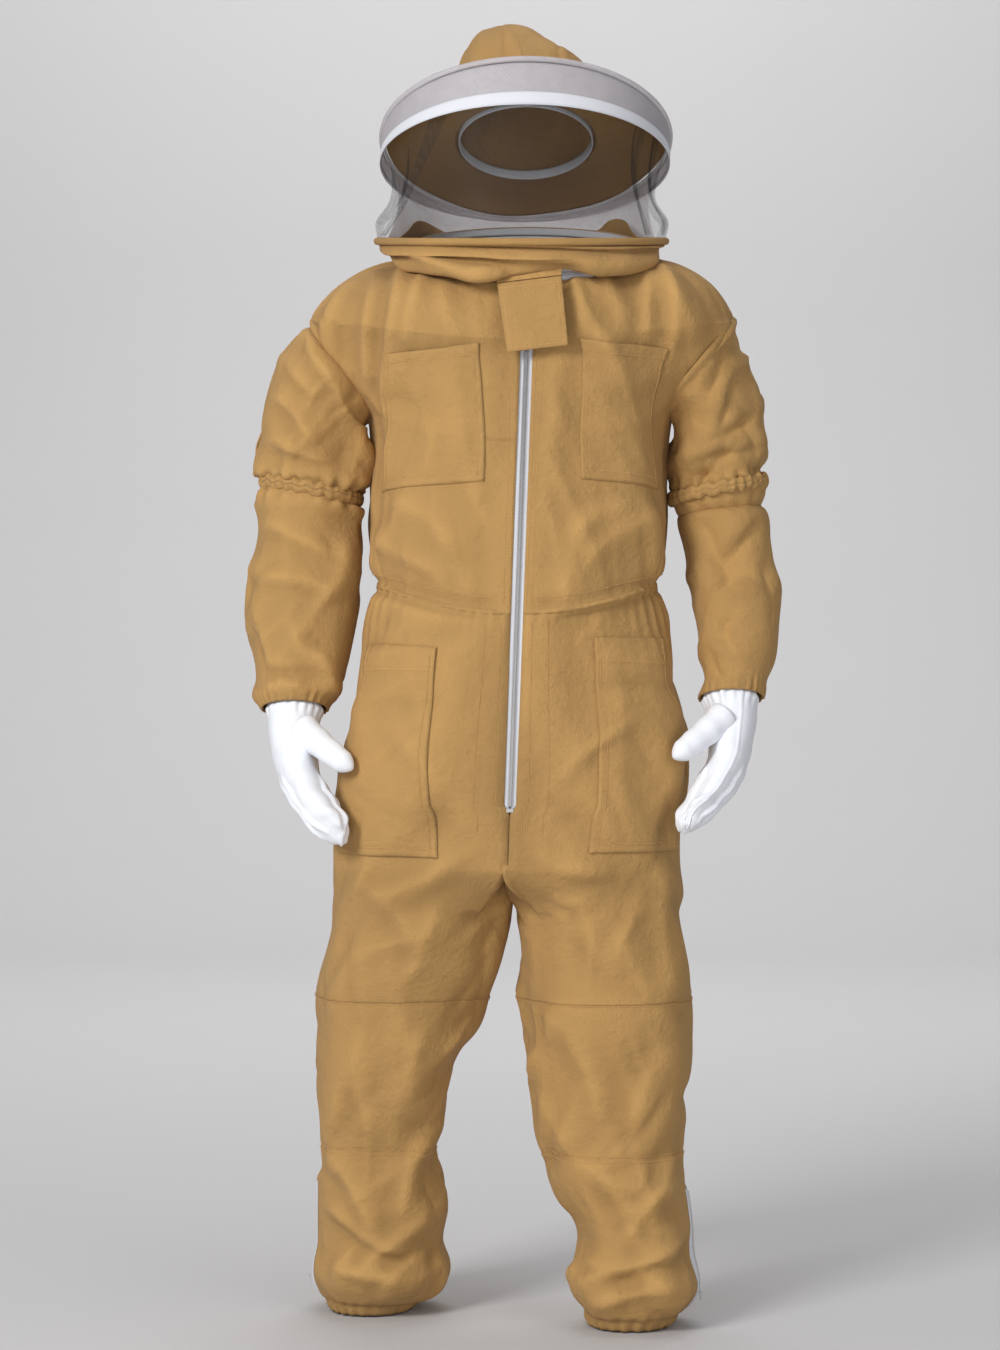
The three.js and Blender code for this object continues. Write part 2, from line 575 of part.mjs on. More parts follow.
function torus({ centre, radius, tilt, wire }, steps = 44) {
  return bend(new THREE.TorusGeometry(radius, wire, 8, steps), (x, y, z) => {
    const turn = (Math.atan2(x, y) / (2 * Math.PI) + 1) % 1;
    return onRing({ centre, radius, tilt }, turn, Math.hypot(x, y) - radius, z);
  });
}
add("hood_hoop", torus(HOOP), TWILL);
add("brim_rim", torus(BRIM), WHITE_TAPE);

// Collar: v 0 at the neck zip, 1 at the hoop, with a slack fold that droops outwards.
function collar(u, v) {
  const low = onRing(NECK, u, -1.5, 18.5);
  const high = onRing(HOOP, u, -2, -HOOP.wire - 3);
  const slack = Math.sin(Math.PI * v);
  const p = low.lerp(high, v);
  const out = p.clone().sub(V(HOOP.centre.x, HOOP.centre.y, p.z)).setLength(9 * slack);
  return p.add(out);
}
const collarAhead = (u, v) => collar((u * (1 - BACK_TURN[1] + BACK_TURN[0]) + BACK_TURN[1]) % 1, v);
const collarBehind = (u, v) => collar(lerp(BACK_TURN[0], BACK_TURN[1], u), v);
add("collar_front", panel(collarAhead, [0, 1, 30], [0, 1, 4]), TWILL);
add("collar_back", panel(collarBehind, [0.005, 0.995, 12], [0, 1, 4]), TWILL);

// Veil: v 0 at the hoop, 1 at the brim.
function veil(u, v) {
  const low = onRing(HOOP, u, -3, HOOP.wire + 2.5);
  const high = onRing(BRIM, u, -2, -BRIM.wire - 2.5);
  const p = low.clone().lerp(high, v);
  const pinch = -10 * Math.sin(Math.PI * v) * Math.sin(2 * Math.PI * u) ** 2;
  const out = p.clone().sub(V(HOOP.centre.x, HOOP.centre.y, p.z)).setLength(Math.abs(pinch));
  return p.sub(out);
}
const veilHeight = (u) => veil(u, 1).distanceTo(veil(u, 0));
const bandShare = (u) => Math.min(0.55, BAND / veilHeight(u));
const band = (u, v) => veil(u, 1 - bandShare(u) * (1 - v));
const belowBand = (u, v) => veil(u, (1 - bandShare(u) - 1 / veilHeight(u)) * v);
const VEIL_SEAM = 0.3; // turn at which the front window meets the back
const mesh = 1.2;
const around = (a, b) => (u, v) => belowBand((lerp(a, b, u) + 1) % 1, v);
add("veil_front", panel(around(-VEIL_SEAM, VEIL_SEAM), [0, 1, 26], [0, 1, 5], 0, mesh), BLACK_MESH);
add("veil_back", panel(around(VEIL_SEAM, 1 - VEIL_SEAM), [0.003, 0.997, 18], [0, 1, 3], 0, mesh), WHITE_MESH);
add("veil_band", tube(band, [0, 1, 2], 40, 0, mesh), WHITE_MESH);

// Brim and crown are turned shapes, tilted back with the hat
const hatPoint = (r, a, h) => onRing({ ...BRIM, radius: r }, a, 0, h);
function turned(profile, steps) {
  const points = profile.map(([r, h]) => new THREE.Vector2(r, h));
  return bend(new THREE.LatheGeometry(points, steps), (x, y, z) => {
    const turn = (Math.atan2(x, z) / (2 * Math.PI) + 1) % 1;
    return hatPoint(Math.hypot(x, z), turn, y);
  });
}
const brimIn = HEAD_RADIUS + 1;
const brimOut = BRIM.radius - BRIM.wire - 0.6;
add(
  "brim",
  turned([[brimIn, 0], [brimOut, -2], [brimOut, 1], [150, 3.5], [brimIn, 3], [brimIn, 0]], 40),
  TWILL,
);
const crownOutline = (grow) =>
  Array.from({ length: 8 }, (_, i) => {
    const a = (i / 7) * (Math.PI / 2);
    return [(HEAD_RADIUS + grow) * Math.pow(Math.cos(a), 0.62) * (i < 7 ? 1 : 0), 4 + (CROWN_HEIGHT + grow) * Math.sin(a)];
  });
const crownProfile = [...crownOutline(0).toReversed(), ...crownOutline(-CLOTH)];
add("crown", turned(crownProfile, 32), TWILL);
const [bandIn, bandOut] = [HEAD_RADIUS - CLOTH - 3.4, HEAD_RADIUS - CLOTH - 1.2];
add("sweatband", turned([[bandIn, -14], [bandOut, -14], [bandOut, 18], [bandIn, 18], [bandIn, -14]], 32), WHITE_TAPE);

// Flap over the meeting of the zips, sewn to the hood's collar, with its hook and loop pads

const FLAP = { hinge: V(22, -174, 1379), width: 84, drop: 90, lean: 7 };
const flapTurn = new THREE.Quaternion().setFromAxisAngle(V(0, 1, 0), degToRad(-FLAP.lean));
function flapBoard(width, thick, from, to, y) {
  const board = new THREE.BoxGeometry(width, thick, to - from, 6, 1, 5);
  return bend(board, (x, py, z) =>
    V(x, py + y, z - (from + to) / 2).applyQuaternion(flapTurn).add(FLAP.hinge),
  );
}
add("flap", flapBoard(FLAP.width, CLOTH, 0, FLAP.drop, 0), TWILL);
const flapYoke = (u, v) => {
  const seat = V(lerp(-FLAP.width / 2, FLAP.width / 2, u), 0, 1.2).applyQuaternion(flapTurn).add(FLAP.hinge);
  const turn = Math.asin((seat.x - NECK.centre.x) / NECK.radius) / (2 * Math.PI);
  return seat.lerp(onRing(NECK, turn, 5, 19), v);
};
add("flap_yoke", panel(flapYoke, [0, 1, 4], [0, 1, 3]), TWILL);
add("flap_hook_pad", flapBoard(50, 1, FLAP.drop - 30, FLAP.drop - 8, CLOTH / 2 + 0.9), HOOK_LOOP);
const padSurface = frontPatch(1, [18, 42], [1296, 1316]);
add("flap_loop_pad", panel(padSurface, [0, 1, 2], [0, 1, 2], PATCH_LIFT, 1.2), HOOK_LOOP);

// Ankle sliders, at the foot of each ankle zip when it is closed
for (const { side, out } of SIDES) {
  const z = ANKLE_ZIP[0] + 12;
  const middle = out > 0 ? 0.25 : 0.75;
  const surface = trouser(side, out, ANKLE_ZIP[0], ANKLE_ZIP[1]);
  const seat = lifted(surface, middle, (z - ANKLE_ZIP[0]) / (ANKLE_ZIP[1] - ANKLE_ZIP[0]), CLOTH / 2 + 5);
  const body = new THREE.BoxGeometry(3, 9, 12, 1, 2, 2);
  add(`ankle_slider_${side}`, bend(body, (x, y, zz) => V(x + out * 4.7, y * (1 - zz / 40), zz).add(seat)), STEEL);
}

export default suit;
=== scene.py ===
"""A beekeeping suit: khaki twill coverall, round veil hood and white leather gloves.

Lengths inside the shape functions are millimetres above the trouser hems, +X the wearer's left and -Y the
front; place() turns them into the frame's metres.
"""

import math

import bmesh
import bpy
import numpy as np
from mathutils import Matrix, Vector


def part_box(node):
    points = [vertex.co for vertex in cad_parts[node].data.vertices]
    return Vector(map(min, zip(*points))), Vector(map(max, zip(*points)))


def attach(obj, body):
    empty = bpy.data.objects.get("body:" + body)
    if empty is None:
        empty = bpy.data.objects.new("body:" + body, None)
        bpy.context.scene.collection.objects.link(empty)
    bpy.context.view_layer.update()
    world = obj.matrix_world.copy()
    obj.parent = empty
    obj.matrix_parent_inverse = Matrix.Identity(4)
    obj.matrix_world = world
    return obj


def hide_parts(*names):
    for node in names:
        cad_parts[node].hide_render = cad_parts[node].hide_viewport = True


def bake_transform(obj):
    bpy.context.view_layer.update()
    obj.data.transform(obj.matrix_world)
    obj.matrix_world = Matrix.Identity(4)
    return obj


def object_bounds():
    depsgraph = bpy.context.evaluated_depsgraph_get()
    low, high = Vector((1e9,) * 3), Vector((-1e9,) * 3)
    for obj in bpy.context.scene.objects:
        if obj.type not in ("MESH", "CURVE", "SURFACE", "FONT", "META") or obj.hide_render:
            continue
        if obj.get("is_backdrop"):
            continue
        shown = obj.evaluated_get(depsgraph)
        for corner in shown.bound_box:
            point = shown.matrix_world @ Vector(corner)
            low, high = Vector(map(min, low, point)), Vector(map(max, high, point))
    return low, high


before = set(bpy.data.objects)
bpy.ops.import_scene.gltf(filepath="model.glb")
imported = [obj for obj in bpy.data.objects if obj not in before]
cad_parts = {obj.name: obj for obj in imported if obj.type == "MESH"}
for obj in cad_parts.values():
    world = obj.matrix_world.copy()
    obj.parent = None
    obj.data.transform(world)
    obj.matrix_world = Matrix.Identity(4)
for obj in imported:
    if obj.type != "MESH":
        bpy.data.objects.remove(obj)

bl_info = {
    "name": "Beekeeping suit",
    "version": (1, 0, 0),
    "blender": (4, 5, 0),
    "location": "View3D > Sidebar > Bee suit",
    "description": "Builds the cloth, veil, zips and gloves of a beekeeping suit around its frame",
    "category": "Add Mesh",
}

MM = 0.001
LOW, HIGH = (np.array(corner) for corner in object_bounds())
SEAT = -1000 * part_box("shin_left")[0][2]  # height of the origin above the hems
ROUND = 2.4  # exponent of the trunk's rounded section
CLOTH_WALL = 0.9
KNEE_LAP = 4.0  # how far a thigh's lower edge hangs over the lower leg
SIDES = (("right", -1), ("left", 1))


def ring_of(node, wire, tilt_sign):
    """The ring that a round node of the frame follows.

    The node's box gives centre and radius, and the box's height gives the tilt.
    """
    low, high = (1000 * np.array(corner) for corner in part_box(node))
    centre = (low + high) / 2 + (0, 0, SEAT)
    radius = (high[0] - low[0]) / 2 - wire
    tilt = math.asin(min(1.0, ((high[2] - low[2]) / 2 - wire) / radius))
    return {"centre": centre, "radius": radius, "tilt": tilt_sign * tilt}


HOOP = ring_of("hood_hoop", 5.0, 1)
BRIM = ring_of("brim_rim", 4.0, -1)
NECK = {"centre": np.array((22.0, -8.0, 1430.0)), "radius": 156.0, "tilt": math.radians(17)}

CROTCH = 568.0
FLY_FOOT = 693.0
ZIP_TOP = 1366.0
ZIP_HALF = 8.0
WAIST = 945.0
WAIST_LIFT = 40.0
KNEE_SEAM = 436.0
SHIN_SEAM = 230.0
ARMHOLE_DEPTH = 80.0
ARMHOLE_SPAN = (0.35, 0.7)
SEAT_FOOT = 620.0


# Small mathematics on whole arrays


def lerp(a, b, t):
    """The point a share t of the way from a to b."""
    return a + (b - a) * t


def smooth(x, a, b):
    """0 below a, 1 above b, and three squares less two cubes of the share between."""
    t = np.clip((x - a) / (b - a), 0, 1)
    return t * t * (3 - 2 * t)


def bell(x, centre, width):
    """The bell curve: e to the minus square of the distance over the width."""
    return np.exp(-(((x - centre) / width) ** 2))


def spline(table, t):
    """Smooth curve through the rows of a table, t from 0 to 1: uniform Catmull-Rom, straight ends."""
    rows = np.array(table, float)
    rows = np.vstack([2 * rows[0] - rows[1], rows, 2 * rows[-1] - rows[-2]])
    count = len(table) - 1
    x = np.clip(np.asarray(t, float), 0, 1) * count
    k = np.minimum(x.astype(int), count - 1)
    f = (x - k)[..., None]
    a, b, c, d = rows[k], rows[k + 1], rows[k + 2], rows[k + 3]
    bend = -a + 3 * b - 3 * c + d
    return 0.5 * (2 * b + (c - a) * f + (2 * a - 5 * b + 4 * c - d) * f**2 + bend * f**3)


def rounded_interp(t, knots, values):
    """Straight lines between the knots, averaged over a short span, so that the corners are rounded."""
    reach = 0.06 * np.minimum(1, 6 * t * (1 - t))
    taps = np.linspace(-1, 1, 9)
    return sum(np.interp(t + k * reach, knots, values) for k in taps) / len(taps)


def stack(x, y, z):
    """Three arrays as one array of points."""
    return np.stack(np.broadcast_arrays(x, y, z), axis=-1).astype(float)


def place(points):
    """Millimetres above the hems to the frame's metres."""
    return points * MM - np.array((0, 0, SEAT * MM))


def on_ring(ring, turn, out=0.0, up=0.0):
    """A point of a tilted ring, with turn 0 at the front and 0.25 at the wearer's left.

    The point is radius + out from the axis, at the angle 2 pi turn, and up along the axis.
    """
    a = np.asarray(turn) * 2 * math.pi
    c, s = math.cos(ring["tilt"]), math.sin(ring["tilt"])
    r = ring["radius"] + out
    x = r * np.sin(a)
    y = -c * r * np.cos(a) - s * up
    z = -s * r * np.cos(a) + c * up
    return stack(x, y, z) + ring["centre"]


# The suit's own surfaces

FRONT_END = on_ring(NECK, 0.0)
ZIP_FOOT = np.array((-3.0, -150.0, FLY_FOOT))


def zip_x(z):
    """The zip is a straight line from its foot to the front of the neck."""
    return lerp(ZIP_FOOT[0], FRONT_END[0], (z - FLY_FOOT) / (FRONT_END[2] - FLY_FOOT))


def zip_y(z):
    """The depth of the zip's straight line at a height."""
    return lerp(ZIP_FOOT[1], FRONT_END[1], (z - FLY_FOOT) / (FRONT_END[2] - FLY_FOOT))


def body_x(z):
    """The middle of the trunk, which leans to the wearer's left above the hips."""
    return 0.022 * np.maximum(0, z - 700)


SIDE_EDGE = (
    (190, 985, 108),
    (199, 1082, 122),
    (206, 1215, 134),
    (245.5, 1280, 136),
    (285, 1345, 136),
    (226, 1408, 137),
    (156, 1432, 140),
)
EDGE_KNOTS = (0, 0.175, 0.35, 0.525, 0.7, 0.85, 1)
CENTRE_KNOTS = (945, 1060, 1175, 1245, 1305, 1350, 1384.4)
BACK_KNOTS = (945, 1080, 1200, 1275, 1350, 1420, 1475)


def bodice(out, back, s, t):
    """The bodice: s runs from the zip or the middle of the back to the side edge, t from waist to neckline.

    Across, depth falls as the rounded section (1 - s^2.4)^(1/2.4); along the armhole the edge opens as an
    ellipse; at the top the surface eases onto the neck ring.
    """
    share = rounded_interp(t, EDGE_KNOTS, np.linspace(0, 1, 7))
    half, edge_z, back_depth = np.moveaxis(spline(SIDE_EDGE, share), -1, 0)
    mid_z = rounded_interp(t, EDGE_KNOTS, BACK_KNOTS if back else CENTRE_KNOTS)
    along = np.clip(2 * (t - ARMHOLE_SPAN[0]) / (ARMHOLE_SPAN[1] - ARMHOLE_SPAN[0]) - 1, -1, 1)
    exact, soft = np.sqrt(1 - along**2), (1 - along**2) ** 1.4
    opening = ARMHOLE_DEPTH * lerp(soft, exact, s**10)
    depth = back_depth if back else -zip_y(mid_z)
    rounded = np.maximum(0, 1 - s**ROUND) ** (1 / ROUND)
    profile = lerp(rounded, 1 - s * s, (1 - along**2) ** 1.5)
    x0 = body_x(mid_z) if back else zip_x(mid_z) + out * ZIP_HALF
    x1 = body_x(edge_z) + out * half
    y = (1 if back else -1) * (opening + (depth - opening) * profile)
    p = stack(lerp(x0, x1, s), y, lerp(mid_z, edge_z, s * s))
    turn = 0.5 - out * 0.25 * s if back else out * lerp(0.008, 0.25, s)
    eased = smooth(t, 0.78, 1)[..., None]
    return lerp(p, on_ring(NECK, turn, 2.8, -10), eased)


LEG_ROWS = {
    "right": (
        (-122, 0, 120, 126),
        (-129, 2, 114, 120),
        (-147, 8, 110, 110),
        (-171, 14, 96, 98),
        (-181, 26, 84, 90),
        (-178, 38, 84, 86),
        (-184, 46, 78, 80),
        (-186, 50, 82, 84),
        (-194, 50, 54, 60),
    ),
    "left": (
        (118, 0, 120, 126),
        (117, -4, 115, 120),
        (121, -12, 112, 110),
        (127, -24, 104, 98),
        (134, -36, 90, 90),
        (152, -46, 82, 86),
        (162, -52, 76, 80),
        (162, -54, 82, 84),
        (156, -54, 54, 60),
    ),
}
LEG_HEIGHTS = (600, 520, 436, 330, 230, 150, 95, 45, 0)
HIP_HALF = {"right": 240.0, "left": 238.0}


def power(x, e):
    """A power of the size of x that keeps its sign."""
    return np.sign(x) * np.abs(x) ** e


def trousers(side, out, u, h):
    """One half of the trousers: u 0 to 0.5 runs from the front seam over the hip to the back, then inside.

    Above the crotch it is a half of the rounded trunk section; below, a rounded tube on the leg's own line.
    """
    half = lerp(HIP_HALF[side], 191 + out * 7, smooth(h, 700, WAIST + 20))
    under = np.clip((FLY_FOOT - h) / 300, 0, 0.9)
    front = -zip_y(np.maximum(h, FLY_FOOT)) * np.sqrt(1 - under**2)
    rear = lerp(150, 108, smooth(h, 760, WAIST))
    a = np.radians(np.where(u < 0.5, lerp(-90, 90, u * 2), lerp(90, 270, u * 2 - 1)))
    across = np.where(u < 0.5, power(np.cos(a), 2 / ROUND), 0)
    depth = np.where(u < 0.5, power(np.sin(a), 2 / ROUND), np.sin(a))
    strip = lerp(0.3, ZIP_HALF, smooth(h, FLY_FOOT - 12, FLY_FOOT + 4))
    gap = np.where(u > 0.5, 0.3, np.where(depth < 0, strip, 0.0))
    centre = zip_x(h)
    x = centre + out * (gap + across * (half - gap - out * centre))
    y = depth * np.where(depth < 0, front, rear)
    trunk = stack(x, y, h + WAIST_LIFT * smooth(h, 790, WAIST) * across**2)
    row = np.interp(np.minimum(600, h), LEG_HEIGHTS[::-1], np.linspace(1, 0, 9))
    cx, cy, rx, ry = np.moveaxis(spline(LEG_ROWS[side], row), -1, 0)
    b = np.radians(np.where(u < 0.5, lerp(-135, 135, u * 2), lerp(135, 225, u * 2 - 1)))
    leg_x = cx + out * rx * power(np.cos(b), 0.92)
    inner = zip_x(h) + out * lerp(2.4, 0.3, smooth(h, CROTCH - 30, CROTCH))
    leg_x = np.where(out * (leg_x - inner) < 0, inner, leg_x)
    leg = stack(leg_x, cy + ry * power(np.sin(b), 0.92), h)
    return lerp(trunk, leg, (1 - smooth(h, CROTCH - 26, CROTCH + 44))[..., None])


UPPER_ROWS = {
    "right": (
        (-232.7, 0, 1280, 76, 80, 58.7),
        (-257, 2, 1240, 67, 80, 40),
        (-267, 5, 1185, 72, 78, 14),
        (-270, 9, 1140, 67, 70, 3),
        (-272, 10, 1120, 61, 62, 0),
    ),
    "left": (
        (258.3, 0, 1280, 76, 80, 58.7),
        (274, 2, 1240, 69, 80, 40),
        (280, 5, 1185, 68, 78, 14),
        (279, 9, 1140, 65, 70, 3),
        (279, 10, 1120, 60, 62, 0),
    ),
}
LOWER_ROWS = {
    "right": (
        (-273, 10, 1110, 63, 64, 0),
        (-277, 12, 1080, 75, 74, 2),
        (-282, 8, 1010, 74, 70, 6),
        (-286, -5, 940, 66, 62, 10),
        (-291, -23, 873, 55, 54, 15),
        (-292, -38, 820, 44, 46, 16),
    ),
    "left": (
        (280, 10, 1110, 62, 64, 0),
        (286, 12, 1085, 74, 74, 2),
        (294, 8, 1022, 67, 70, 6),
        (300, -5, 956, 60, 62, 10),
        (301, -23, 890, 53, 54, 15),
        (294, -38, 835, 43, 46, 16),
    ),
}


def upper_sleeve(side, out, u, v):
    """Upper sleeve: ellipses whose plane leans from the armhole's slope to level; u 0 is outside."""
    x, y, z, half, deep, lean = np.moveaxis(spline(UPPER_ROWS[side], v), -1, 0)
    a = -u * 2 * math.pi
    across = half * np.cos(a)
    lean = np.radians(lean)
    return stack(x + out * np.cos(lean) * across, y + out * deep * np.sin(a), z + np.sin(lean) * across)


def lower_sleeve(side, out, u, v):
    """Lower sleeve: ellipses square to the forearm, which tilts forwards."""
    x, y, z, half, deep, tilt = np.moveaxis(spline(LOWER_ROWS[side], v), -1, 0)
    a = -u * 2 * math.pi
    back = out * deep * np.sin(a)
    tilt = np.radians(tilt)
    return stack(x + out * half * np.cos(a), y + np.cos(tilt) * back, z - np.sin(tilt) * back)


# Relief: folds, crumples, gathers and seams, all as heights in millimetres


def folds(p, lines):
    """Folds along lines seen from the front: each is a ridge, sharp on one side, that fades at its ends."""
    total = np.zeros(p.shape[:-1])
    for x0, z0, x1, z1, width, height in lines:
        length = math.hypot(x1 - x0, z1 - z0)
        ex, ez = (x1 - x0) / length, (z1 - z0) / length
        along = ((p[..., 0] - x0) * ex + (p[..., 2] - z0) * ez) / length
        q = ((p[..., 0] - x0) * ez - (p[..., 2] - z0) * ex) / width
        q = q + 0.35 * np.sin(along * 5 + x0)
        shape = np.where(q > 0, np.exp(-1.1 * q**2), np.exp(-0.5 * np.abs(q) ** 1.3))
        total += height * shape * smooth(along, -0.12, 0.25) * (1 - smooth(along, 0.7, 1.12))
    return total


class Creases:
    """Crisp creases at random places of a surface.

    Each is minus the softened distance from a line through its centre, times a bell around the centre.
    """

    def __init__(self, point, seed, count, reach, rise, spread):
        rng = np.random.default_rng(seed)
        u, v = rng.uniform(0, 1, count), rng.uniform(0.02, 0.98, count)
        e = 2e-3
        du = unit(point(np.minimum(u + e, 1), v) - point(np.maximum(u - e, 0), v))
        dv = unit(point(u, np.minimum(v + e, 1)) - point(u, np.maximum(v - e, 0)))
        a = rng.normal(0.3, spread, count)[:, None]
        self.centre = point(u, v)
        self.across = unit(du * np.cos(a) + dv * np.sin(a))
        share = rng.uniform(0.22, 1.3, count)
        self.size = reach * share
        self.rise = rise * np.sqrt(share) * rng.uniform(0.5, 1.0, count) * rng.choice((-1.0, 1.0), count)

    def __call__(self, p):
        """The summed dips -2 rise |x| exp(-0.7 x^2 - 0.35 d^2), held within 12 mm by a tanh."""
        total = np.zeros(p.shape[:-1])
        for centre, across, size, rise in zip(self.centre, self.across, self.size, self.rise):
            d = (p - centre) / size
            x = d @ across
            total -= 2 * rise * np.sqrt(x * x + 0.0015) * np.exp(-0.7 * x * x - 0.35 * (d * d).sum(-1))
        return 12 * np.tanh(total / 12)


def ripples(u, phase, count, seed):
    """Uneven waves round a gathered edge: a sum of sines of whole numbers of turns near the count."""
    rng = np.random.default_rng(seed)
    total = np.zeros(np.shape(u))
    for k in range(4):
        n = count + int(rng.integers(-count // 4, count // 4 + 1))
        total += np.sin(2 * math.pi * n * u + rng.uniform(0, 6.28) + phase * (k % 2)) * rng.uniform(0.5, 1)
    return total / 2.4


# Meshes


def unit(v):
    """Vectors divided by their own lengths."""
    return v / np.maximum(np.linalg.norm(v, axis=-1, keepdims=True), 1e-9)


def slopes(p, closed):
    """The two directions of a grid by central differences, wrapping where it closes."""
    if closed:
        du = (np.roll(p, -1, axis=1) - np.roll(p, 1, axis=1)) / 2
    else:
        du = np.gradient(p, axis=1)
    return du, np.gradient(p, axis=0)


def new_object(name, points, faces, uv=None, shade=None, material=None, smooth_faces=True):
    """Puts arrays in millimetres into a mesh object at the origin, without the points that no face uses."""
    corners = faces.shape[1]
    used, faces = np.unique(faces, return_inverse=True)
    faces = faces.reshape(-1, corners)
    points = points.reshape(-1, 3)[used]
    uv = None if uv is None else uv.reshape(-1, 2)[used]
    shade = None if shade is None else shade.ravel()[used]
    mesh = bpy.data.meshes.new(name)
    mesh.from_pydata(place(points.reshape(-1, 3)), [], faces.tolist())
    mesh.polygons.foreach_set("use_smooth", np.broadcast_to(smooth_faces, len(mesh.polygons)).copy())
    if uv is not None:
        layer = mesh.uv_layers.new(name="cloth")
        corner = np.empty(len(mesh.loops), np.int32)
        mesh.loops.foreach_get("vertex_index", corner)
        layer.data.foreach_set("uv", (uv.reshape(-1, 2)[corner] * MM).ravel().astype(np.float32))
    # The painted light and shade of the relief is kept in the ridge attribute.
    if shade is not None:
        data = mesh.attributes.new("ridge", "FLOAT", "POINT")
        data.data.foreach_set("value", shade.ravel().astype(np.float32))
    mesh.validate()
    if material:
        mesh.materials.append(material)
    obj = bpy.data.objects.new(name, mesh)
    bpy.context.scene.collection.objects.link(obj)
    return obj


def grid_faces(rows, cols, closed, offset=0, flip=False):
    """Quads of a grid of points, as rows of four indices."""
    width = cols if closed else cols - 1
    r, c = np.meshgrid(np.arange(rows - 1), np.arange(width), indexing="ij")
    d = (c + 1) % cols
    quads = np.stack([r * cols + c, r * cols + d, (r + 1) * cols + d, (r + 1) * cols + c], -1)
    quads = quads.reshape(-1, 4) + offset
    return quads[:, ::-1] if flip else quads


def blur(a, closed, passes=10):
    """Average with the neighbours in both directions, several times."""
    for _ in range(passes):
        if closed:
            a = (np.roll(a, 1, axis=1) + a + np.roll(a, -1, axis=1)) / 3
        else:
            e = np.pad(a, ((0, 0), (1, 1)), mode="edge")
            a = (e[:, :-2] + e[:, 1:-1] + e[:, 2:]) / 3
        e = np.pad(a, ((1, 1), (0, 0)), mode="edge")
        a = (e[:-2] + e[1:-1] + e[2:]) / 3
    return a


FLAT = {}


def sheet(obj):
    """Looks up a cloth piece's lengths and area, those of its smooth pattern without folds; nothing is done
    with them.
    """
    wide, tall, area = FLAT[obj.name]


def cloth(name, point, size, material, closed=False, relief=None, wall=CLOTH_WALL, lift=0.0, flip=False,
          region=None,
          keep=None):
    """A shell of cloth: the grid of a surface, raised by its relief along the normal, with a wall behind it.

    point(u, v) gives the surface, size is (columns, rows), and relief(p, u, v) the height.
    """
    cols, rows = size
    u1 = np.arange(cols) / (cols if closed else cols - 1)
    u, v = np.meshgrid(u1, np.linspace(0, 1, rows))
    if region is not None:
        u, v = region(u, v)
    p = point(u, v)
    du, dv = slopes(p, closed)
    normal = unit(np.cross(du, dv)) * (-1 if flip else 1)
    x = np.cumsum(np.linalg.norm(du, axis=-1), axis=1)
    y = np.cumsum(np.linalg.norm(dv, axis=-1), axis=0)
    x = x - x[:, :1]
    y = y - y[:1]
    height = np.zeros(u.shape) if relief is None else relief(p, u, v)
    outer = p + normal * (height + lift)[..., None]
    du, dv = slopes(outer, closed)
    normal = unit(np.cross(du, dv)) * (-1 if flip else 1)
    inner = outer - normal * wall
    n = rows * cols
    front = grid_faces(rows, cols, closed, 0, flip)
    if keep is not None:
        front = front[keep(u, v).ravel()[front].all(axis=1)]
    start, stop = front.ravel(), np.roll(front, -1, axis=1).ravel()
    border = ~np.isin(start * n + stop, stop * n + start)
    a, b = start[border], stop[border]
    faces = np.vstack([front, front[:, ::-1] + n, np.stack([b, a, a + n, b + n], -1)])
    wide = np.linalg.norm(np.diff(p, axis=1), axis=-1).sum(axis=1).max()
    tall = np.linalg.norm(np.diff(p, axis=0), axis=-1).sum(axis=0).max()
    a, b, c = p.reshape(-1, 3)[front[:, 0]], p.reshape(-1, 3)[front[:, 1]], p.reshape(-1, 3)[front[:, 3]]
    flat_area = np.linalg.norm(np.cross(b - a, c - a), axis=-1).sum()
    FLAT[name] = (float(wide * MM), float(tall * MM), float(min(flat_area, wide * tall) * MM * MM))
    uv = np.stack([x, y], -1)
    # bend is the painted light and shade of the relief: its height above its own blur, paler on ridges and
    # darker in hollows.
    bend = np.clip((height - blur(height, closed)) / 2.5, -1, 1)
    both = np.concatenate([outer.reshape(-1, 3), inner.reshape(-1, 3)])
    smoothed = np.arange(len(faces)) < 2 * len(front)
    uv, bend = np.concatenate([uv, uv]), np.concatenate([bend, bend])
    return new_object(name, both, faces, uv, bend, material, smoothed)


def tube(name, path, radius, material, sides=10, closed=False, ends=True):
    """A round bar along a path: circles square to the path, with the ends drawn in where it is open."""
    path = np.asarray(path, float)
    along = np.roll(path, -1, 0) - np.roll(path, 1, 0) if closed else np.gradient(path, axis=0)
    t = unit(along)
    ref = np.tile((0.0, 0.0, 1.0), (len(path), 1))
    ref[np.abs(t[:, 2]) > 0.9] = (0.0, -1.0, 0.0)
    a = unit(np.cross(t, ref))
    b = np.cross(t, a)
    turn = np.arange(sides) / sides * 2 * math.pi
    r = np.broadcast_to(radius, (len(path),)).astype(float)[:, None]
    if not closed and ends:
        from_end = np.minimum(np.arange(len(path)), np.arange(len(path))[::-1])
        r = r * np.minimum(1, np.sqrt(from_end / 1.5 + 0.02))[:, None]
    across, upwards = (r * np.cos(turn))[..., None], (r * np.sin(turn))[..., None]
    p = path[:, None] + a[:, None] * across + b[:, None] * upwards
    rows = len(path)
    faces = grid_faces(rows, sides, True, 0, True)
    if closed:
        last = np.arange(sides) + (rows - 1) * sides
        first = np.arange(sides)
        wrap = np.stack([last, first, np.roll(first, -1), np.roll(last, -1)], -1)
        faces = np.vstack([faces, wrap])
    dist = np.cumsum(np.linalg.norm(along, axis=1))[:, None] * np.ones((1, sides))
    uv = np.stack([np.broadcast_to(turn * 3, dist.shape), dist], -1)
    obj = new_object(name, p, faces, uv, np.zeros(dist.size), material)
    if not closed:
        close_ends(obj)
    return obj


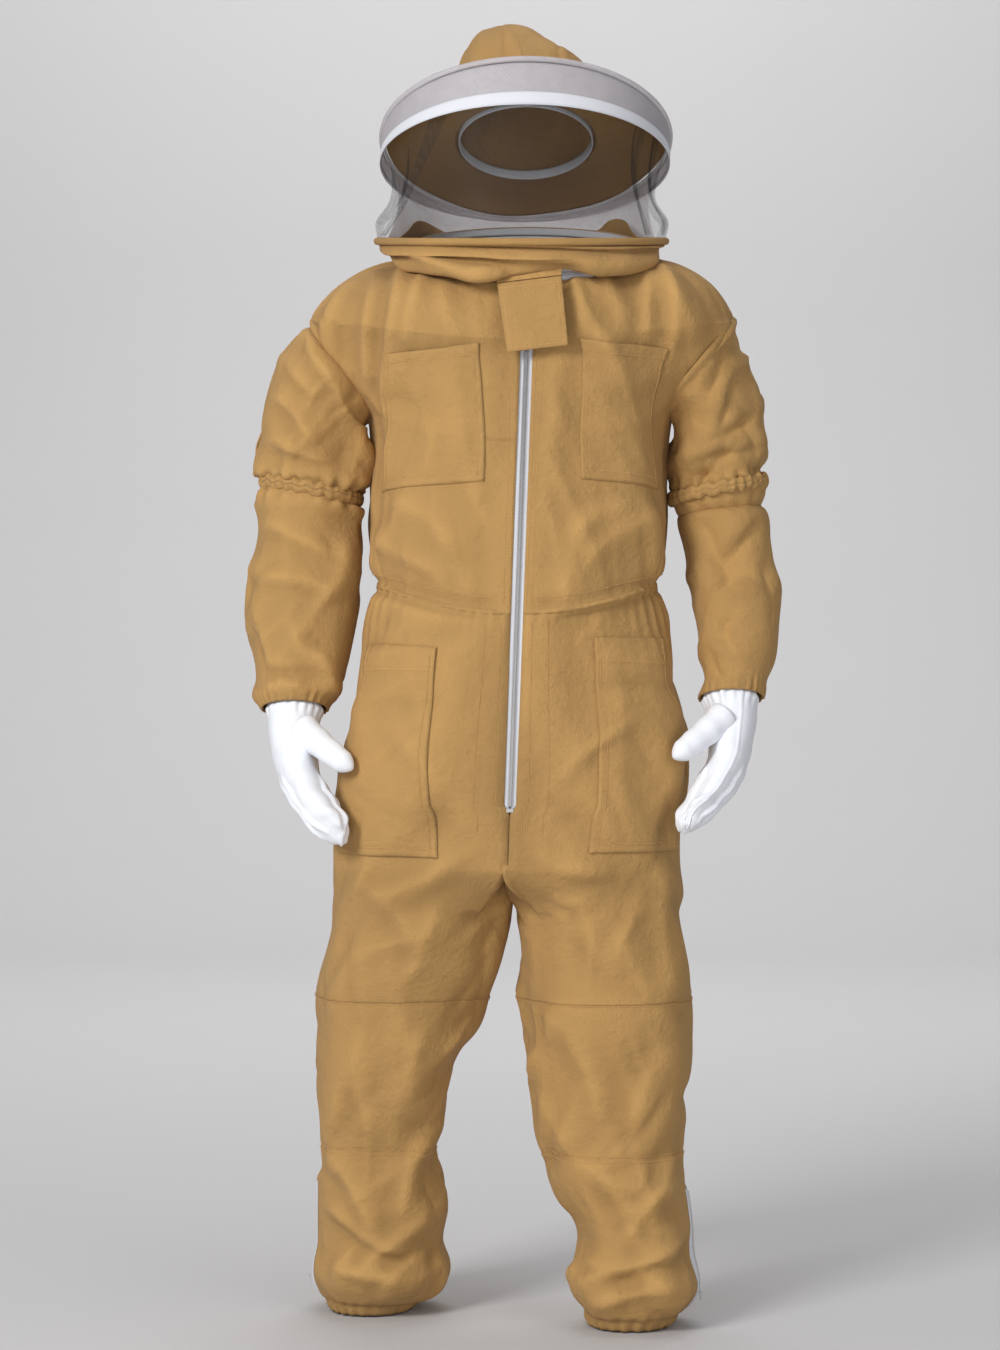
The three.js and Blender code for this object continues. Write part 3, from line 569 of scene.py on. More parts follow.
def close_ends(obj):
    """Fills the open ends of a mesh."""
    bm = bmesh.new()
    bm.from_mesh(obj.data)
    bmesh.ops.holes_fill(bm, edges=[e for e in bm.edges if e.is_boundary], sides=0)
    bmesh.ops.recalc_face_normals(bm, faces=bm.faces)
    bm.to_mesh(obj.data)
    bm.free()


def repeated(name, shape, faces, at, axes, material):
    """Copies of one small shape: at gives the places and axes the three directions of each copy."""
    shape = np.asarray(shape, float)
    faces = np.asarray(faces)
    p = at[:, None] + np.einsum("kd,ndc->nkc", shape, axes)
    shift = np.arange(len(at))[:, None, None] * len(shape)
    return new_object(name, p, (faces[None] + shift).reshape(-1, faces.shape[1]), None, None, material, False)


BLOCK = np.array([(x, y, z) for x in (-0.5, 0.5) for y in (-0.5, 0.5) for z in (-0.5, 0.5)])
BLOCK_FACES = ((0, 1, 3, 2), (4, 6, 7, 5), (0, 4, 5, 1), (2, 3, 7, 6), (0, 2, 6, 4), (1, 5, 7, 3))


def stitches(name, path, lift, material, gap=1.4, width=0.7):
    """A row of stitches on a path of (points, normals): flat six-sided threads, each raised in the middle."""
    points, normals = path
    length = bpy.context.scene.suit_sizes.stitch
    step = np.linalg.norm(np.diff(points, axis=0), axis=1)
    dist = np.concatenate([[0], np.cumsum(step)])
    count = max(2, int(dist[-1] / (length + gap)))
    s = (np.arange(count) + 0.5) * dist[-1] / count
    at = np.stack([np.interp(s, dist, points[:, k]) for k in range(3)], -1)
    up = unit(np.stack([np.interp(s, dist, normals[:, k]) for k in range(3)], -1))
    ahead = np.stack([np.interp(s + 0.5, dist, points[:, k]) for k in range(3)], -1)
    behind = np.stack([np.interp(s - 0.5, dist, points[:, k]) for k in range(3)], -1)
    t = unit(ahead - behind)
    b = unit(np.cross(t, up))
    half = length / 2
    ends = [(x, y * width / 2, z) for x, h in ((-half, 0), (-half * 0.6, 1), (half * 0.6, 1), (half, 0))
            for y, z in ((-1, -0.25), (0, 0.1 + 0.42 * h), (1, -0.25))]
    faces = [(k * 3 + a, k * 3 + b, k * 3 + 3 + b, k * 3 + 3 + a) for k in range(3) for a,
             b in ((0, 1), (1, 2), (2, 0))]
    faces += [(0, 2, 1, 1), (9, 10, 11, 11)]
    tri = [f[:3] if len(set(f)) == 3 else f for f in faces]
    axes = np.stack([t, b, up], 1)
    p = (at + up * lift)[:, None] + np.einsum("kd,ndc->nkc", np.array(ends), axes)
    n = len(ends)
    flat = [[i + k * n for i in f] for k in range(count) for f in tri]
    mesh = bpy.data.meshes.new(name)
    mesh.from_pydata(place(p.reshape(-1, 3)), [], flat)
    mesh.materials.append(material)
    mesh.polygons.foreach_set("use_smooth", np.ones(len(mesh.polygons), bool))
    obj = bpy.data.objects.new(name, mesh)
    bpy.context.scene.collection.objects.link(obj)
    return obj


def joined(name, parts):
    """Several objects made one, under one name."""
    bpy.ops.object.select_all(action="DESELECT")
    for part in parts:
        part.select_set(True)
    bpy.context.view_layer.objects.active = parts[0]
    if len(parts) > 1:
        bpy.ops.object.join()
    parts[0].name = name
    parts[0].data.name = name
    return parts[0]


def settle(obj, body, nodes=()):
    """Rides the piece on its body and hides the CAD nodes it stands for."""
    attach(obj, body)
    if nodes:
        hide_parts(*nodes)
    return obj


# Materials


class Link:
    """A socket of a shader tree, with arithmetic that adds Math nodes."""

    def __init__(self, tree, socket):
        self.tree = tree
        self.socket = socket

    def _math(self, operation, a, b=None):
        """A maths node with a and, where given, b as its inputs."""
        node = self.tree.nodes.new("ShaderNodeMath")
        node.operation = operation
        for slot, value in zip(node.inputs, (a, b)):
            if isinstance(value, Link):
                self.tree.links.new(value.socket, slot)
            elif value is not None:
                slot.default_value = value
        return Link(self.tree, node.outputs[0])

    def __add__(self, other):
        """a + b"""
        return self._math("ADD", self, other)

    __radd__ = __add__

    def __mul__(self, other):
        """a times b"""
        return self._math("MULTIPLY", self, other)

    __rmul__ = __mul__

    def __sub__(self, other):
        """a - b"""
        return self._math("SUBTRACT", self, other)

    def __rsub__(self, other):
        """b - a"""
        return self._math("SUBTRACT", other, self)

    def __pow__(self, other):
        """a to the power b"""
        return self._math("POWER", self, other)

    def sin(self):
        """sin(a)"""
        return self._math("SINE", self)

    def abs(self):
        """|a|"""
        return self._math("ABSOLUTE", self)

    def at_least(self, other):
        """The larger of the two."""
        return self._math("MAXIMUM", self, other)

    def at_most(self, other):
        """The smaller of the two."""
        return self._math("MINIMUM", self, other)

    def above(self, other):
        """1 where a is greater, else 0."""
        return self._math("GREATER_THAN", self, other)


class Finish:
    """A material and its tree."""

    def __init__(self, name, **values):
        self.material = bpy.data.materials.new(name)
        self.material.use_nodes = True
        self.tree = self.material.node_tree
        self.shader = next(n for n in self.tree.nodes if n.type == "BSDF_PRINCIPLED")
        for key, value in values.items():
            self.shader.inputs[key.replace("_", " ")].default_value = value

    def node(self, kind, settings=None, out=0, **inputs):
        """Any node: its settings first, then its sockets' values or links, by name or by i and a number."""
        node = self.tree.nodes.new("ShaderNode" + kind)
        for key, value in (settings or {}).items():
            if key == "stops":
                ramp = node.color_ramp
                while len(ramp.elements) < len(value):
                    ramp.elements.new(0.5)
                for element, (spot, colour) in zip(ramp.elements, value):
                    element.position = spot
                    element.color = (*colour, 1)
            else:
                setattr(node, key, value)
        for key, value in inputs.items():
            numbered = key[0] == "i" and key[1:].isdigit()
            socket = node.inputs[int(key[1:]) if numbered else key.replace("_", " ")]
            if isinstance(value, Link):
                self.tree.links.new(value.socket, socket)
            else:
                socket.default_value = value
        return Link(self.tree, node.outputs[out])

    def feed(self, **links):
        """Joins each link to the shader input of that name and gives back the material."""
        for key, link in links.items():
            self.tree.links.new(link.socket, self.shader.inputs[key.replace("_", " ")])
        return self.material

    def noise(self, vector, scale, detail=2.0, roughness=0.5):
        """A noise texture on the given vector."""
        return self.node("TexNoise", Vector=vector, Scale=scale, Detail=detail, Roughness=roughness)

    def bump(self, height, distance, strength=1.0, **more):
        """A bump node with the given height and distance."""
        return self.node("Bump", Height=height, Distance=distance, Strength=strength, **more)

    def mix(self, factor, a, b):
        """Colours a and b mixed by the factor."""
        return self.node("Mix", {"data_type": "RGBA"}, out=2, i0=factor, i6=a, i7=b)


def colour(c, k=1.0):
    """A colour times k, with full opacity."""
    return (c[0] * k, c[1] * k, c[2] * k, 1.0)


def twill(name, base, weave=0.0011, crush=1.0):
    """Cotton twill: diagonal ribs on the cloth's own map, fine creasing, and painted light and shade, with
    the relief's ridges painted paler than its hollows.
    """
    f = Finish(name, Roughness=0.8, Sheen_Weight=0.05, Sheen_Roughness=0.4, Specular_IOR_Level=0.2)
    uv = f.node("UVMap", {"uv_map": "cloth"})
    spot = f.node("TexCoord", out=3)
    x = f.node("SeparateXYZ", Vector=uv, out=0)
    y = f.node("SeparateXYZ", Vector=uv, out=1)
    rib = ((x + y) * (2 * math.pi / weave)).sin()
    yarn = (x * (2 * math.pi / (weave * 0.7))).sin() * 0.5
    crease = f.noise(spot, 26.0, 5.0, 0.62)
    slub = f.noise(spot, 900.0, 2.0, 0.6)
    cloudy = f.noise(spot, 5.0, 3.0, 0.6)
    # Painted light and shade: the ridge attribute makes the relief's ridges paler and its hollows darker.
    ridge = f.node("Attribute", {"attribute_name": "ridge"}, out=2)
    tone = (cloudy - 0.5) * 0.5 + (slub - 0.5) * 0.35 + ridge * 0.22 + rib * 0.035 + 0.5
    tinted = f.mix(tone.at_least(0.0).at_most(1.0), colour(base, 0.74), colour(base, 1.26))
    rough = (slub - 0.5) * 0.2 + (cloudy - 0.5) * 0.15 + 0.8
    small = f.noise(spot, 95.0, 3.0, 0.6)
    coarse = f.bump(crease + small * 0.16, 0.011 * crush, 0.6)
    fine = f.bump(rib + yarn + slub, 0.00016, 0.6, Normal=coarse)
    return f.feed(Base_Color=tinted, Roughness=rough, Normal=fine)


def tape_finish(name, base):
    """Woven tape: cross ribs and a little dirt."""
    f = Finish(name, Roughness=0.75, Sheen_Weight=0.15)
    spot = f.node("TexCoord", out=3)
    z = f.node("SeparateXYZ", Vector=spot, out=2)
    rib = (z * (2 * math.pi / 0.0012)).sin()
    grain = f.noise(spot, 700.0, 2.0)
    tone = (grain - 0.5) * 0.5 + rib * 0.08 + 0.6
    tinted = f.mix(tone, colour(base, 0.8), colour(base, 1.04))
    raised = f.bump(rib + grain, 0.0001, 0.6)
    return f.feed(Base_Color=tinted, Roughness=(grain - 0.5) * 0.2 + 0.75, Normal=raised)


def net(name, base, pitch, hole, density=0.0):
    """Open net: threads where the sum of two crossed waves is high; the rest is clear."""
    f = Finish(name, Roughness=0.6)
    uv = f.node("UVMap", {"uv_map": "cloth"})
    x = f.node("SeparateXYZ", Vector=uv, out=0)
    y = f.node("SeparateXYZ", Vector=uv, out=1)
    turn = 2 * math.pi / pitch
    first = ((x + y * 0.58) * turn).sin()
    second = ((x - y * 0.58) * turn).sin()
    third = (y * (turn * 1.16)).sin()
    open_part = (first * second).abs() * 0.6 + third.abs() * 0.4
    thread = 1.0 - (open_part * hole).at_most(1.0)
    spot = f.node("TexCoord", out=3)
    grain = f.noise(spot, 60.0, 3.0)
    alpha = (thread + (grain - 0.5) * 0.07 + density).at_least(0.02).at_most(1.0)
    tinted = f.mix(grain, colour(base, 0.93), colour(base, 1.07))
    return f.feed(Base_Color=tinted, Alpha=alpha, Roughness=grain * 0.3 + 0.45)


def metal(name, base, roughness):
    """Zip metal: small scratches and dull patches."""
    f = Finish(name, Metallic=1.0)
    spot = f.node("TexCoord", out=3)
    patch = f.noise(spot, 120.0, 4.0)
    scratch = f.noise(f.node("Mapping", Vector=spot, Scale=(900.0, 900.0, 60.0)), 1.0, 2.0)
    tinted = f.mix(patch, colour(base, 0.75), colour(base, 1.15))
    rough = (patch - 0.5) * 0.25 + (scratch - 0.5) * 0.15 + roughness
    return f.feed(Base_Color=tinted, Roughness=rough, Normal=f.bump(scratch, 0.00005, 0.4))


def hide(name, base):
    """Soft goat leather: pebbled grain, small wrinkles and faint grey marks."""
    f = Finish(name, Roughness=0.55, Sheen_Weight=0.1, Specular_IOR_Level=0.35)
    spot = f.node("TexCoord", out=3)
    pebble = f.node("TexVoronoi", Vector=spot, Scale=520.0)
    crease = f.noise(spot, 70.0, 4.0, 0.6)
    mark = f.noise(spot, 14.0, 3.0)
    tone = (mark - 0.5) * 0.6 + (crease - 0.5) * 0.4 + 0.65
    tinted = f.mix(tone.at_most(1.0).at_least(0.0), colour(base, 0.86), colour(base, 1.03))
    first = f.bump(crease, 0.0016, 0.5)
    raised = f.bump(pebble, 0.00025, 0.4, Normal=first)
    return f.feed(Base_Color=tinted, Roughness=(crease - 0.5) * 0.2 + 0.55, Normal=raised)


def fuzz(name, base):
    """Hook and loop: a dense short pile."""
    f = Finish(name, Roughness=0.95, Sheen_Weight=0.4)
    spot = f.node("TexCoord", out=3)
    pile = f.node("TexVoronoi", Vector=spot, Scale=900.0)
    grain = f.noise(spot, 400.0, 3.0)
    tinted = f.mix(grain, colour(base, 0.7), colour(base, 1.25))
    return f.feed(Base_Color=tinted, Roughness=grain * 0.1 + 0.88, Normal=f.bump(pile, 0.0006, 0.8))


def plain_paint(name, base):
    """Studio paper: even, with the faintest mottling."""
    f = Finish(name, Roughness=0.9, Specular_IOR_Level=0.1)
    spot = f.node("TexCoord", out=3)
    mottle = f.noise(spot, 3.0, 2.0)
    return f.feed(Base_Color=f.mix(mottle, colour(base, 0.99), colour(base, 1.01)))


MATERIALS = {}


def material(key):
    """The finish of that name, made once."""
    if key in MATERIALS:
        return MATERIALS[key]
    look = bpy.context.scene.suit_colours
    made = {
        "khaki": lambda: twill("khaki twill", look.khaki),
        "thread": lambda: tape_finish("khaki thread", [min(1, c * 1.75) for c in look.khaki]),
        "tape": lambda: tape_finish("white zip tape", look.white),
        "binding": lambda: tape_finish("white binding", look.white),
        "white_net": lambda: net("white net", [c * 0.72 for c in look.net_white], 0.0034, 1.1, 0.22),
        "back_net": lambda: net("white back net", look.net_white, 0.0034, 1.35, 0.1),
        "black_net": lambda: net("black net", look.net_black, 0.0034, 2.3, 0.0),
        "steel": lambda: metal("zip metal", look.steel, 0.35),
        "leather": lambda: hide("white glove leather", look.leather),
        "pile": lambda: fuzz("hook and loop", [c * 0.75 for c in look.khaki]),
    }[key]()
    MATERIALS[key] = made
    return made


class SUIT_PG_colours(bpy.types.PropertyGroup):
    """Colours of the suit."""

    khaki: bpy.props.FloatVectorProperty(
        name="Twill",
        description="Colour of the cotton twill",
        subtype="COLOR", default=(0.45, 0.262, 0.092), min=0, max=1,
    )
    white: bpy.props.FloatVectorProperty(
        name="Tape",
        description="Colour of zip tapes and bindings",
        subtype="COLOR", default=(0.7, 0.71, 0.75), min=0, max=1,
    )
    net_white: bpy.props.FloatVectorProperty(
        name="White net",
        description="Colour of the band and the back veil",
        subtype="COLOR", default=(0.74, 0.7, 0.73), min=0, max=1,
    )
    net_black: bpy.props.FloatVectorProperty(
        name="Black net",
        description="Colour of the front veil",
        subtype="COLOR", default=(0.02, 0.022, 0.026), min=0, max=1,
    )
    steel: bpy.props.FloatVectorProperty(
        name="Zip metal",
        description="Colour of teeth and sliders",
        subtype="COLOR", default=(0.38, 0.37, 0.37), min=0, max=1,
    )
    leather: bpy.props.FloatVectorProperty(
        name="Glove leather",
        description="Colour of the gloves",
        subtype="COLOR", default=(0.84, 0.86, 0.9), min=0, max=1,
    )


class SUIT_PG_sizes(bpy.types.PropertyGroup):
    """Sizes of details that a user may change."""

    crush: bpy.props.FloatProperty(
        name="Creasing",
        description="Height of the random creases, as a share of the usual",
        default=1.0, min=0, max=2, subtype="FACTOR",
    )
    stitch: bpy.props.FloatProperty(
        name="Stitch", description="Length of one stitch in millimetres", default=3.0, min=1.5, max=6
    )
    tooth: bpy.props.FloatProperty(
        name="Zip pitch",
        description="Distance between teeth of one side in millimetres",
        default=3.1, min=2, max=5,
    )


# Pieces of the body


def seam_line(point, relief, ends, size=240):
    """Points and normals on a raised surface along the line between two places (u0, v0, u1, v1)."""
    u0, v0, u1, v1 = ends
    t = np.linspace(0, 1, size)
    e = 2e-3
    u, v = lerp(u0, u1, t), lerp(v0, v1, t)

    def raised(a, b):
        """The surface's point, with u and v held between 0 and 1."""
        return point(np.clip(a, 0, 1), np.clip(b, 0, 1))

    p = raised(u, v)
    normal = unit(np.cross(raised(u + e, v) - raised(u - e, v), raised(u, v + e) - raised(u, v - e)))
    return p + normal * relief(p, u, v)[:, None], normal


def at_place(point, targets, size=240):
    """Parameters (u, v) of the surface points nearest to the places (x, z), found on a fine grid."""
    u, v = np.meshgrid(np.linspace(0, 1, size), np.linspace(0, 1, size))
    p = point(u, v)
    found = []
    for x, z in targets:
        far = (p[..., 0] - x) ** 2 + (p[..., 2] - z) ** 2 + 1e6 * (p[..., 1] > 10)
        k = np.argmin(far)
        found.append((u.ravel()[k], v.ravel()[k]))
    return found


def patch_region(corners):
    """Maps a square onto the quadrilateral of (u, v) corners: low left, low right, high right, high left."""
    a, b, c, d = (np.array(corner) for corner in corners)

    def region(u, v):
        """The place between four corners a, b, c, d by straight shares of u and v."""
        w = lerp(lerp(a, b, u[..., None]), lerp(d, c, u[..., None]), v[..., None])
        return w[..., 0], w[..., 1]

    return region


SHOULDER_FOLDS = {
    -1: (
        (-150, 1425, -168, 1205, 9, 13),
        (-118, 1405, -134, 1290, 10, 9),
        (-186, 1400, -196, 1240, 9, 9),
        (-92, 1392, -66, 1300, 15, 6),
        (-170, 1105, -60, 1040, 18, 7),
        (-185, 1060, -90, 985, 13, 7),
        (-60, 1130, -16, 1040, 12, 4),
        (-100, 1060, -40, 960, 16, 5),
        (-150, 1100, -185, 985, 12, 6),
    ),
    1: (
        (118, 1400, 150, 1310, 13, 8),
        (80, 1395, 95, 1315, 13, 6),
        (200, 1410, 218, 1280, 10, 11),
        (170, 1395, 186, 1300, 9, 7),
        (165, 1100, 70, 1040, 18, 6),
        (190, 1090, 90, 1000, 15, 7),
        (60, 1300, 45, 1160, 12, 4),
        (110, 1085, 60, 960, 15, 5),
        (170, 1100, 196, 985, 12, 6),
    ),
}
LEG_FOLDS = {
    -1: (
        (-24, 700, -110, 590, 14, 7),
        (-20, 650, -190, 560, 15, 9),
        (-190, 600, -120, 500, 16, 7),
        (-90, 560, -150, 450, 14, 6),
        (-140, 800, -90, 700, 16, 5),
        (-110, 400, -150, 280, 16, 7),
        (-205, 390, -190, 250, 14, 7),
        (-245, 220, -170, 120, 13, 12),
        (-110, 260, -160, 130, 13, 11),
        (-250, 150, -140, 92, 11, 14),
        (-112, 160, -200, 62, 12, 12),
        (-235, 74, -150, 50, 9, 11),
        (-200, 120, -235, 42, 10, 8),
        (-130, 90, -180, 30, 10, 8),
    ),
    1: (
        (14, 690, 70, 590, 14, 7),
        (18, 690, 150, 812, 13, 8),
        (15, 640, 125, 600, 12, 10),
        (15, 610, 100, 555, 12, 8),
        (190, 620, 140, 480, 16, 7),
        (90, 590, 130, 470, 16, 7),
        (205, 600, 200, 440, 12, 7),
        (80, 400, 120, 280, 16, 7),
        (190, 380, 165, 260, 14, 7),
        (88, 230, 170, 160, 14, 11),
        (220, 240, 150, 112, 13, 11),
        (95, 58, 238, 132, 11, 15),
        (92, 110, 200, 60, 12, 9),
        (112, 45, 214, 62, 9, 9),
        (230, 190, 120, 150, 12, 7),
    ),
}
SLEEVE_FOLDS = {
    -1: (
        (-275, 1345, -240, 1250, 9, 13),
        (-250, 1275, -205, 1190, 9, 12),
        (-305, 1300, -262, 1232, 10, 8),
        (-210, 1210, -200, 1135, 9, 9),
        (-320, 1240, -255, 1180, 11, 10),
        (-325, 1180, -235, 1150, 9, 9),
        (-345, 1070, -225, 1030, 12, 10),
        (-335, 1010, -240, 975, 12, 10),
        (-215, 1055, -262, 950, 12, 9),
        (-300, 935, -250, 860, 11, 8),
        (-335, 960, -322, 850, 10, 8),
        (-270, 900, -240, 840, 9, 8),
    ),
    1: (
        (300, 1335, 255, 1225, 10, 11),
        (330, 1280, 270, 1190, 11, 11),
        (345, 1215, 250, 1165, 11, 12),
        (340, 1172, 240, 1142, 9, 10),
        (240, 1070, 300, 980, 12, 10),
        (350, 1064, 265, 1010, 12, 10),
        (335, 975, 265, 905, 12, 9),
        (280, 950, 305, 860, 10, 8),
        (345, 1010, 345, 890, 10, 8),
        (260, 905, 290, 840, 9, 8),
    ),
}


class Front:
    """One front of the bodice: its surface and relief; u runs from the side to the zip or back."""

    def __init__(self, out):
        self.out = out
        self.creases = Creases(self.point, 11 + out, 54, 60, 7.0 * bpy.context.scene.suit_sizes.crush, 0.2)

    def point(self, u, v):
        """The bodice surface, with columns closer near the side: s is the sine of a quarter turn of u."""
        s = np.sin((u if self.out > 0 else 1 - u) * math.pi / 2)
        return bodice(self.out, False, s, lerp(-0.012, 1, v))

    def relief(self, p, u, v):
        """Creases and shoulder folds, faded at the edges, plus waves that fade up from the waist."""
        w = u if self.out > 0 else 1 - u
        rise = self.creases(p) + folds(p, SHOULDER_FOLDS[self.out])
        rise *= 0.1 + 0.9 * smooth(w, 0.03, 0.15)
        rise *= smooth(v, 0, 0.05) * (1 - smooth(v, 0.95, 1)) * smooth(1 - w, 0, 0.07)
        pleat = np.sin(w * 130 + v * 5) * smooth(w, 0.7, 0.84) * bell(v, 0.02, 0.09) * 5.0
        pucker = np.sin(w * 240) * smooth(0.2 - w, 0, 0.14) * bell(v, 0.03, 0.03) * 1.1
        casing = 3.0 * bell(v, 0.032, 0.012) * smooth(w, 0.03, 0.1)
        return rise + pleat + pucker - casing - 9.0 * bell(v, 0.0, 0.05) * smooth(w, 0.7, 0.9)


class Rear:
    """The back of the bodice in one piece: u runs from the left side edge to the right."""

    def __init__(self):
        self.creases = Creases(self.point, 14, 90, 60, 7.5 * bpy.context.scene.suit_sizes.crush, 0.3)

    def point(self, u, v):
        """Two mirrored bodice halves that meet in the middle of the back, where u is 0.5."""
        s = np.sin(np.abs(1 - 2 * u) * math.pi / 2)
        t = lerp(-0.012, 1, v)
        return np.where((u < 0.5)[..., None], bodice(1, True, s, t), bodice(-1, True, s, t))

    def relief(self, p, u, v):
        """Creases, waves that fade up from the waist, and the sunk line of the casing."""
        w = np.abs(1 - 2 * u)
        rise = self.creases(p) * smooth(v, 0, 0.05) * (1 - smooth(v, 0.95, 1)) * smooth(1 - w, 0, 0.07)
        pleat = np.sin(w * 130 + v * 5) * bell(v, 0.02, 0.09) * 4.0
        pleat = pleat * smooth(w, 0.1, 0.3) * smooth(1 - w, 0, 0.02)
        return rise + pleat - 3.0 * bell(v, 0.032, 0.012) - 9.0 * bell(v, 0.0, 0.05) * smooth(w, 0.7, 0.9)


class Trouser:
    """A length of one trouser half between two heights.

    Open, u runs over the hip from the front seam to the back seam; closed, it goes on round the inside.
    All lengths of one half share their creases, so they meet without a break.
    """

    def __init__(self, side, out, low, high, closed):
        self.side, self.out, self.low, self.high, self.closed = side, out, low, high, closed

        def whole(u, v):
            """The whole half's outside, on which the creases are scattered."""
            return trousers(side, out, u * 0.98, lerp(20, WAIST, v))

        self.creases = Creases(whole, 24 + out, 210, 60, 9.0 * bpy.context.scene.suit_sizes.crush, 0.7)

    def share(self, u):
        """The surface's own u of a place: 0 to 0.5 over the outside, 0.5 to 1 inside."""
        if self.closed:
            return u if self.out > 0 else (1 - u) % 1
        return np.clip(0.5 * (u if self.out > 0 else 1 - u), 0.0005, 0.4995)

    def point(self, u, v):
        """The trouser surface at the share of u and a height straight between low and high."""
        return trousers(self.side, self.out, self.share(u), lerp(self.low, self.high, v))

    def relief(self, p, u, v):
        """Creases and folds, less at the seams, plus waist waves, sunk seams and a gathered hem.

        Along the ankle zip the relief eases to an even 3 mm, so that the zip lies flat.
        """
        w, h = 2 * self.share(u), lerp(self.low, self.high, v)
        rise = self.creases(p) + folds(p, LEG_FOLDS[self.out]) * smooth(-p[..., 1], -20, 40)
        seam = np.minimum(w, np.abs(1 - w)) + smooth(CROTCH - 10 - h, 0, 60)
        rise *= 0.1 + 0.9 * smooth(seam, 0.02, 0.12)
        rise *= (1 - smooth(h, WAIST - 14, WAIST + 4)) * smooth(h, 2, 30)
        side = bell(w, 0.5, 0.17) * (w < 1)
        pleat = np.sin(w * 150 + h * 0.01) * side * bell(h, WAIST + 6, 62) * 5.0
        pucker = np.sin(w * 260) * smooth(0.16 - w, 0, 0.1) * bell(h, WAIST - 8, 15) * 1.1
        casing = 3.0 * bell(h, WAIST - 6, 4) * smooth(w, 0.03, 0.1)
        rise += pleat + pucker - casing - 7.0 * side * bell(h, WAIST + 6, 22)
        rise -= 1.6 * bell(h, KNEE_SEAM, 3) + 1.4 * bell(h, SHIN_SEAM, 3)
        sag = smooth(150 - h, 0, 110) * smooth(h, 4, 44)
        rise += ripples(u, 0, 6, 3) * 4.0 * sag + 7.0 * bell(h, 52, 26)
        rise += ripples(u, 0, 34, 5) * 3.2 * bell(h, 10, 13) - 3.0 * bell(h, 15, 4)
        rise += (1 - smooth(h, KNEE_SEAM - 3, KNEE_SEAM + 9)) * (1.6 if self.low > SHIN_SEAM else 0)
        return lerp(rise, 3.0, bell(w, 0.5, 0.08) * smooth(h, 8, 26) * (1 - smooth(h, 178, 200)))


ELBOW_TILT = 12.0  # how much higher an elbow band is outside than inside, halved


class Sleeve:
    """Upper or lower sleeve: v runs up; gathers stand next to the elbow band and the cuff."""

    def __init__(self, side, out, upper):
        self.side, self.out, self.upper = side, out, upper
        self.creases = Creases(self.point, (51 if upper else 61) + out, 60, 50,
                               8.5 * bpy.context.scene.suit_sizes.crush, 0.9)

    def point(self, u, v):
        """The sleeve surface, lifted outside and lowered inside at the elbow, with its edges tucked in."""
        w = u if self.out > 0 else 1 - u
        tilt = ELBOW_TILT * np.cos(2 * math.pi * w)
        if self.upper:
            under = 0.5 - 0.5 * np.cos(2 * math.pi * w)
            tuck = (3 + 17 * under) * smooth(v, 0.84, 1)
            arm = upper_sleeve(self.side, self.out, w, 1 - v)
            return arm + stack(-0.85 * self.out * tuck, 0 * v, 0.52 * tuck + tilt * (1 - smooth(v, 0, 0.4)))
        lift = 13 * smooth(v, 0.95, 1) + tilt * smooth(v, 0.6, 1)
        return lower_sleeve(self.side, self.out, w, 1 - v) + stack(0 * v, 0 * v, lift)

    def relief(self, p, u, v):
        """Creases that fade at both ends, plus waves and a swell next to the gathers."""
        rise = self.creases(p) + folds(p, SLEEVE_FOLDS[self.out]) * smooth(-p[..., 1], -40, 20)
        if self.upper:
            rise *= smooth(v, 0.02, 0.16) * (1 - smooth(v, 0.9, 1.0))
            rise += ripples(u, 0, 19, 5) * 4.5 * bell(v, 0.1, 0.13) * smooth(v, 0.0, 0.06)
            return rise + 11 * bell(v, 0.2, 0.13) - 3.5 * bell(v, 0.975, 0.02) - 5.0 * smooth(v, 0.93, 1)
        rise *= smooth(v, 0.0, 0.08) * (1 - smooth(v, 0.86, 0.99))
        rise = lerp(rise, np.maximum(rise, -1.0), 1 - smooth(v, 0.3, 0.55))
        gather = ripples(u, 0, 17, 6) * 4.0 * bell(v, 0.93, 0.07) * smooth(1 - v, 0, 0.03)
        rise += gather + 10 * bell(v, 0.88, 0.08) - 5 * bell(v, 1.0, 0.03)
        return rise + ripples(u, 0, 24, 7) * 2.4 * bell(v, 0.0, 0.06) + 4.0 * bell(v, 0.09, 0.06)


def body_cloth(name, zone, size, closed=False, **more):
    """The khaki cloth of a zone that has its own point and relief."""
    return cloth(name, zone.point, size, material("khaki"), closed, zone.relief, **more)


class SUIT_OT_bodice(bpy.types.Operator):
    """Bodice: two fronts and a back that meet at the sides, with the stitching of the fly and waist"""

    bl_idname = "suit.bodice"
    bl_label = "Bodice"

    def execute(self, context):
        rows = []
        for side, out in SIDES:
            zone = Front(out)
            obj = body_cloth(f"cloth_bodice_front_{side}", zone, (76, 116), lift=0.8)
            settle(obj, "coverall", [f"bodice_front_{side}"])
            sheet(obj)
            for near in (0.012, 0.036):
                w = near if out > 0 else 1 - near
                rows.append(seam_line(zone.point, zone.relief, (w, 0.03, w, 0.985)))
            rows.append(seam_line(zone.point, zone.relief, (0.01, 0.045, 0.99, 0.045), 400))
            w = 0.985 if out > 0 else 0.015
            rows.append(seam_line(zone.point, zone.relief, (w, 0.38, w, 0.96)))
        rear = Rear()
        obj = body_cloth("cloth_bodice_back", rear, (150, 116), lift=0.8)
        settle(obj, "coverall", ["bodice_back"])
        sheet(obj)
        rows.append(seam_line(rear.point, rear.relief, (0.01, 0.045, 0.99, 0.045), 600))
        thread = [stitches(f"row_{k}", row, 1.2, material("thread")) for k, row in enumerate(rows)]
        settle(joined("stitch_bodice", thread), "coverall")
        return {"FINISHED"}


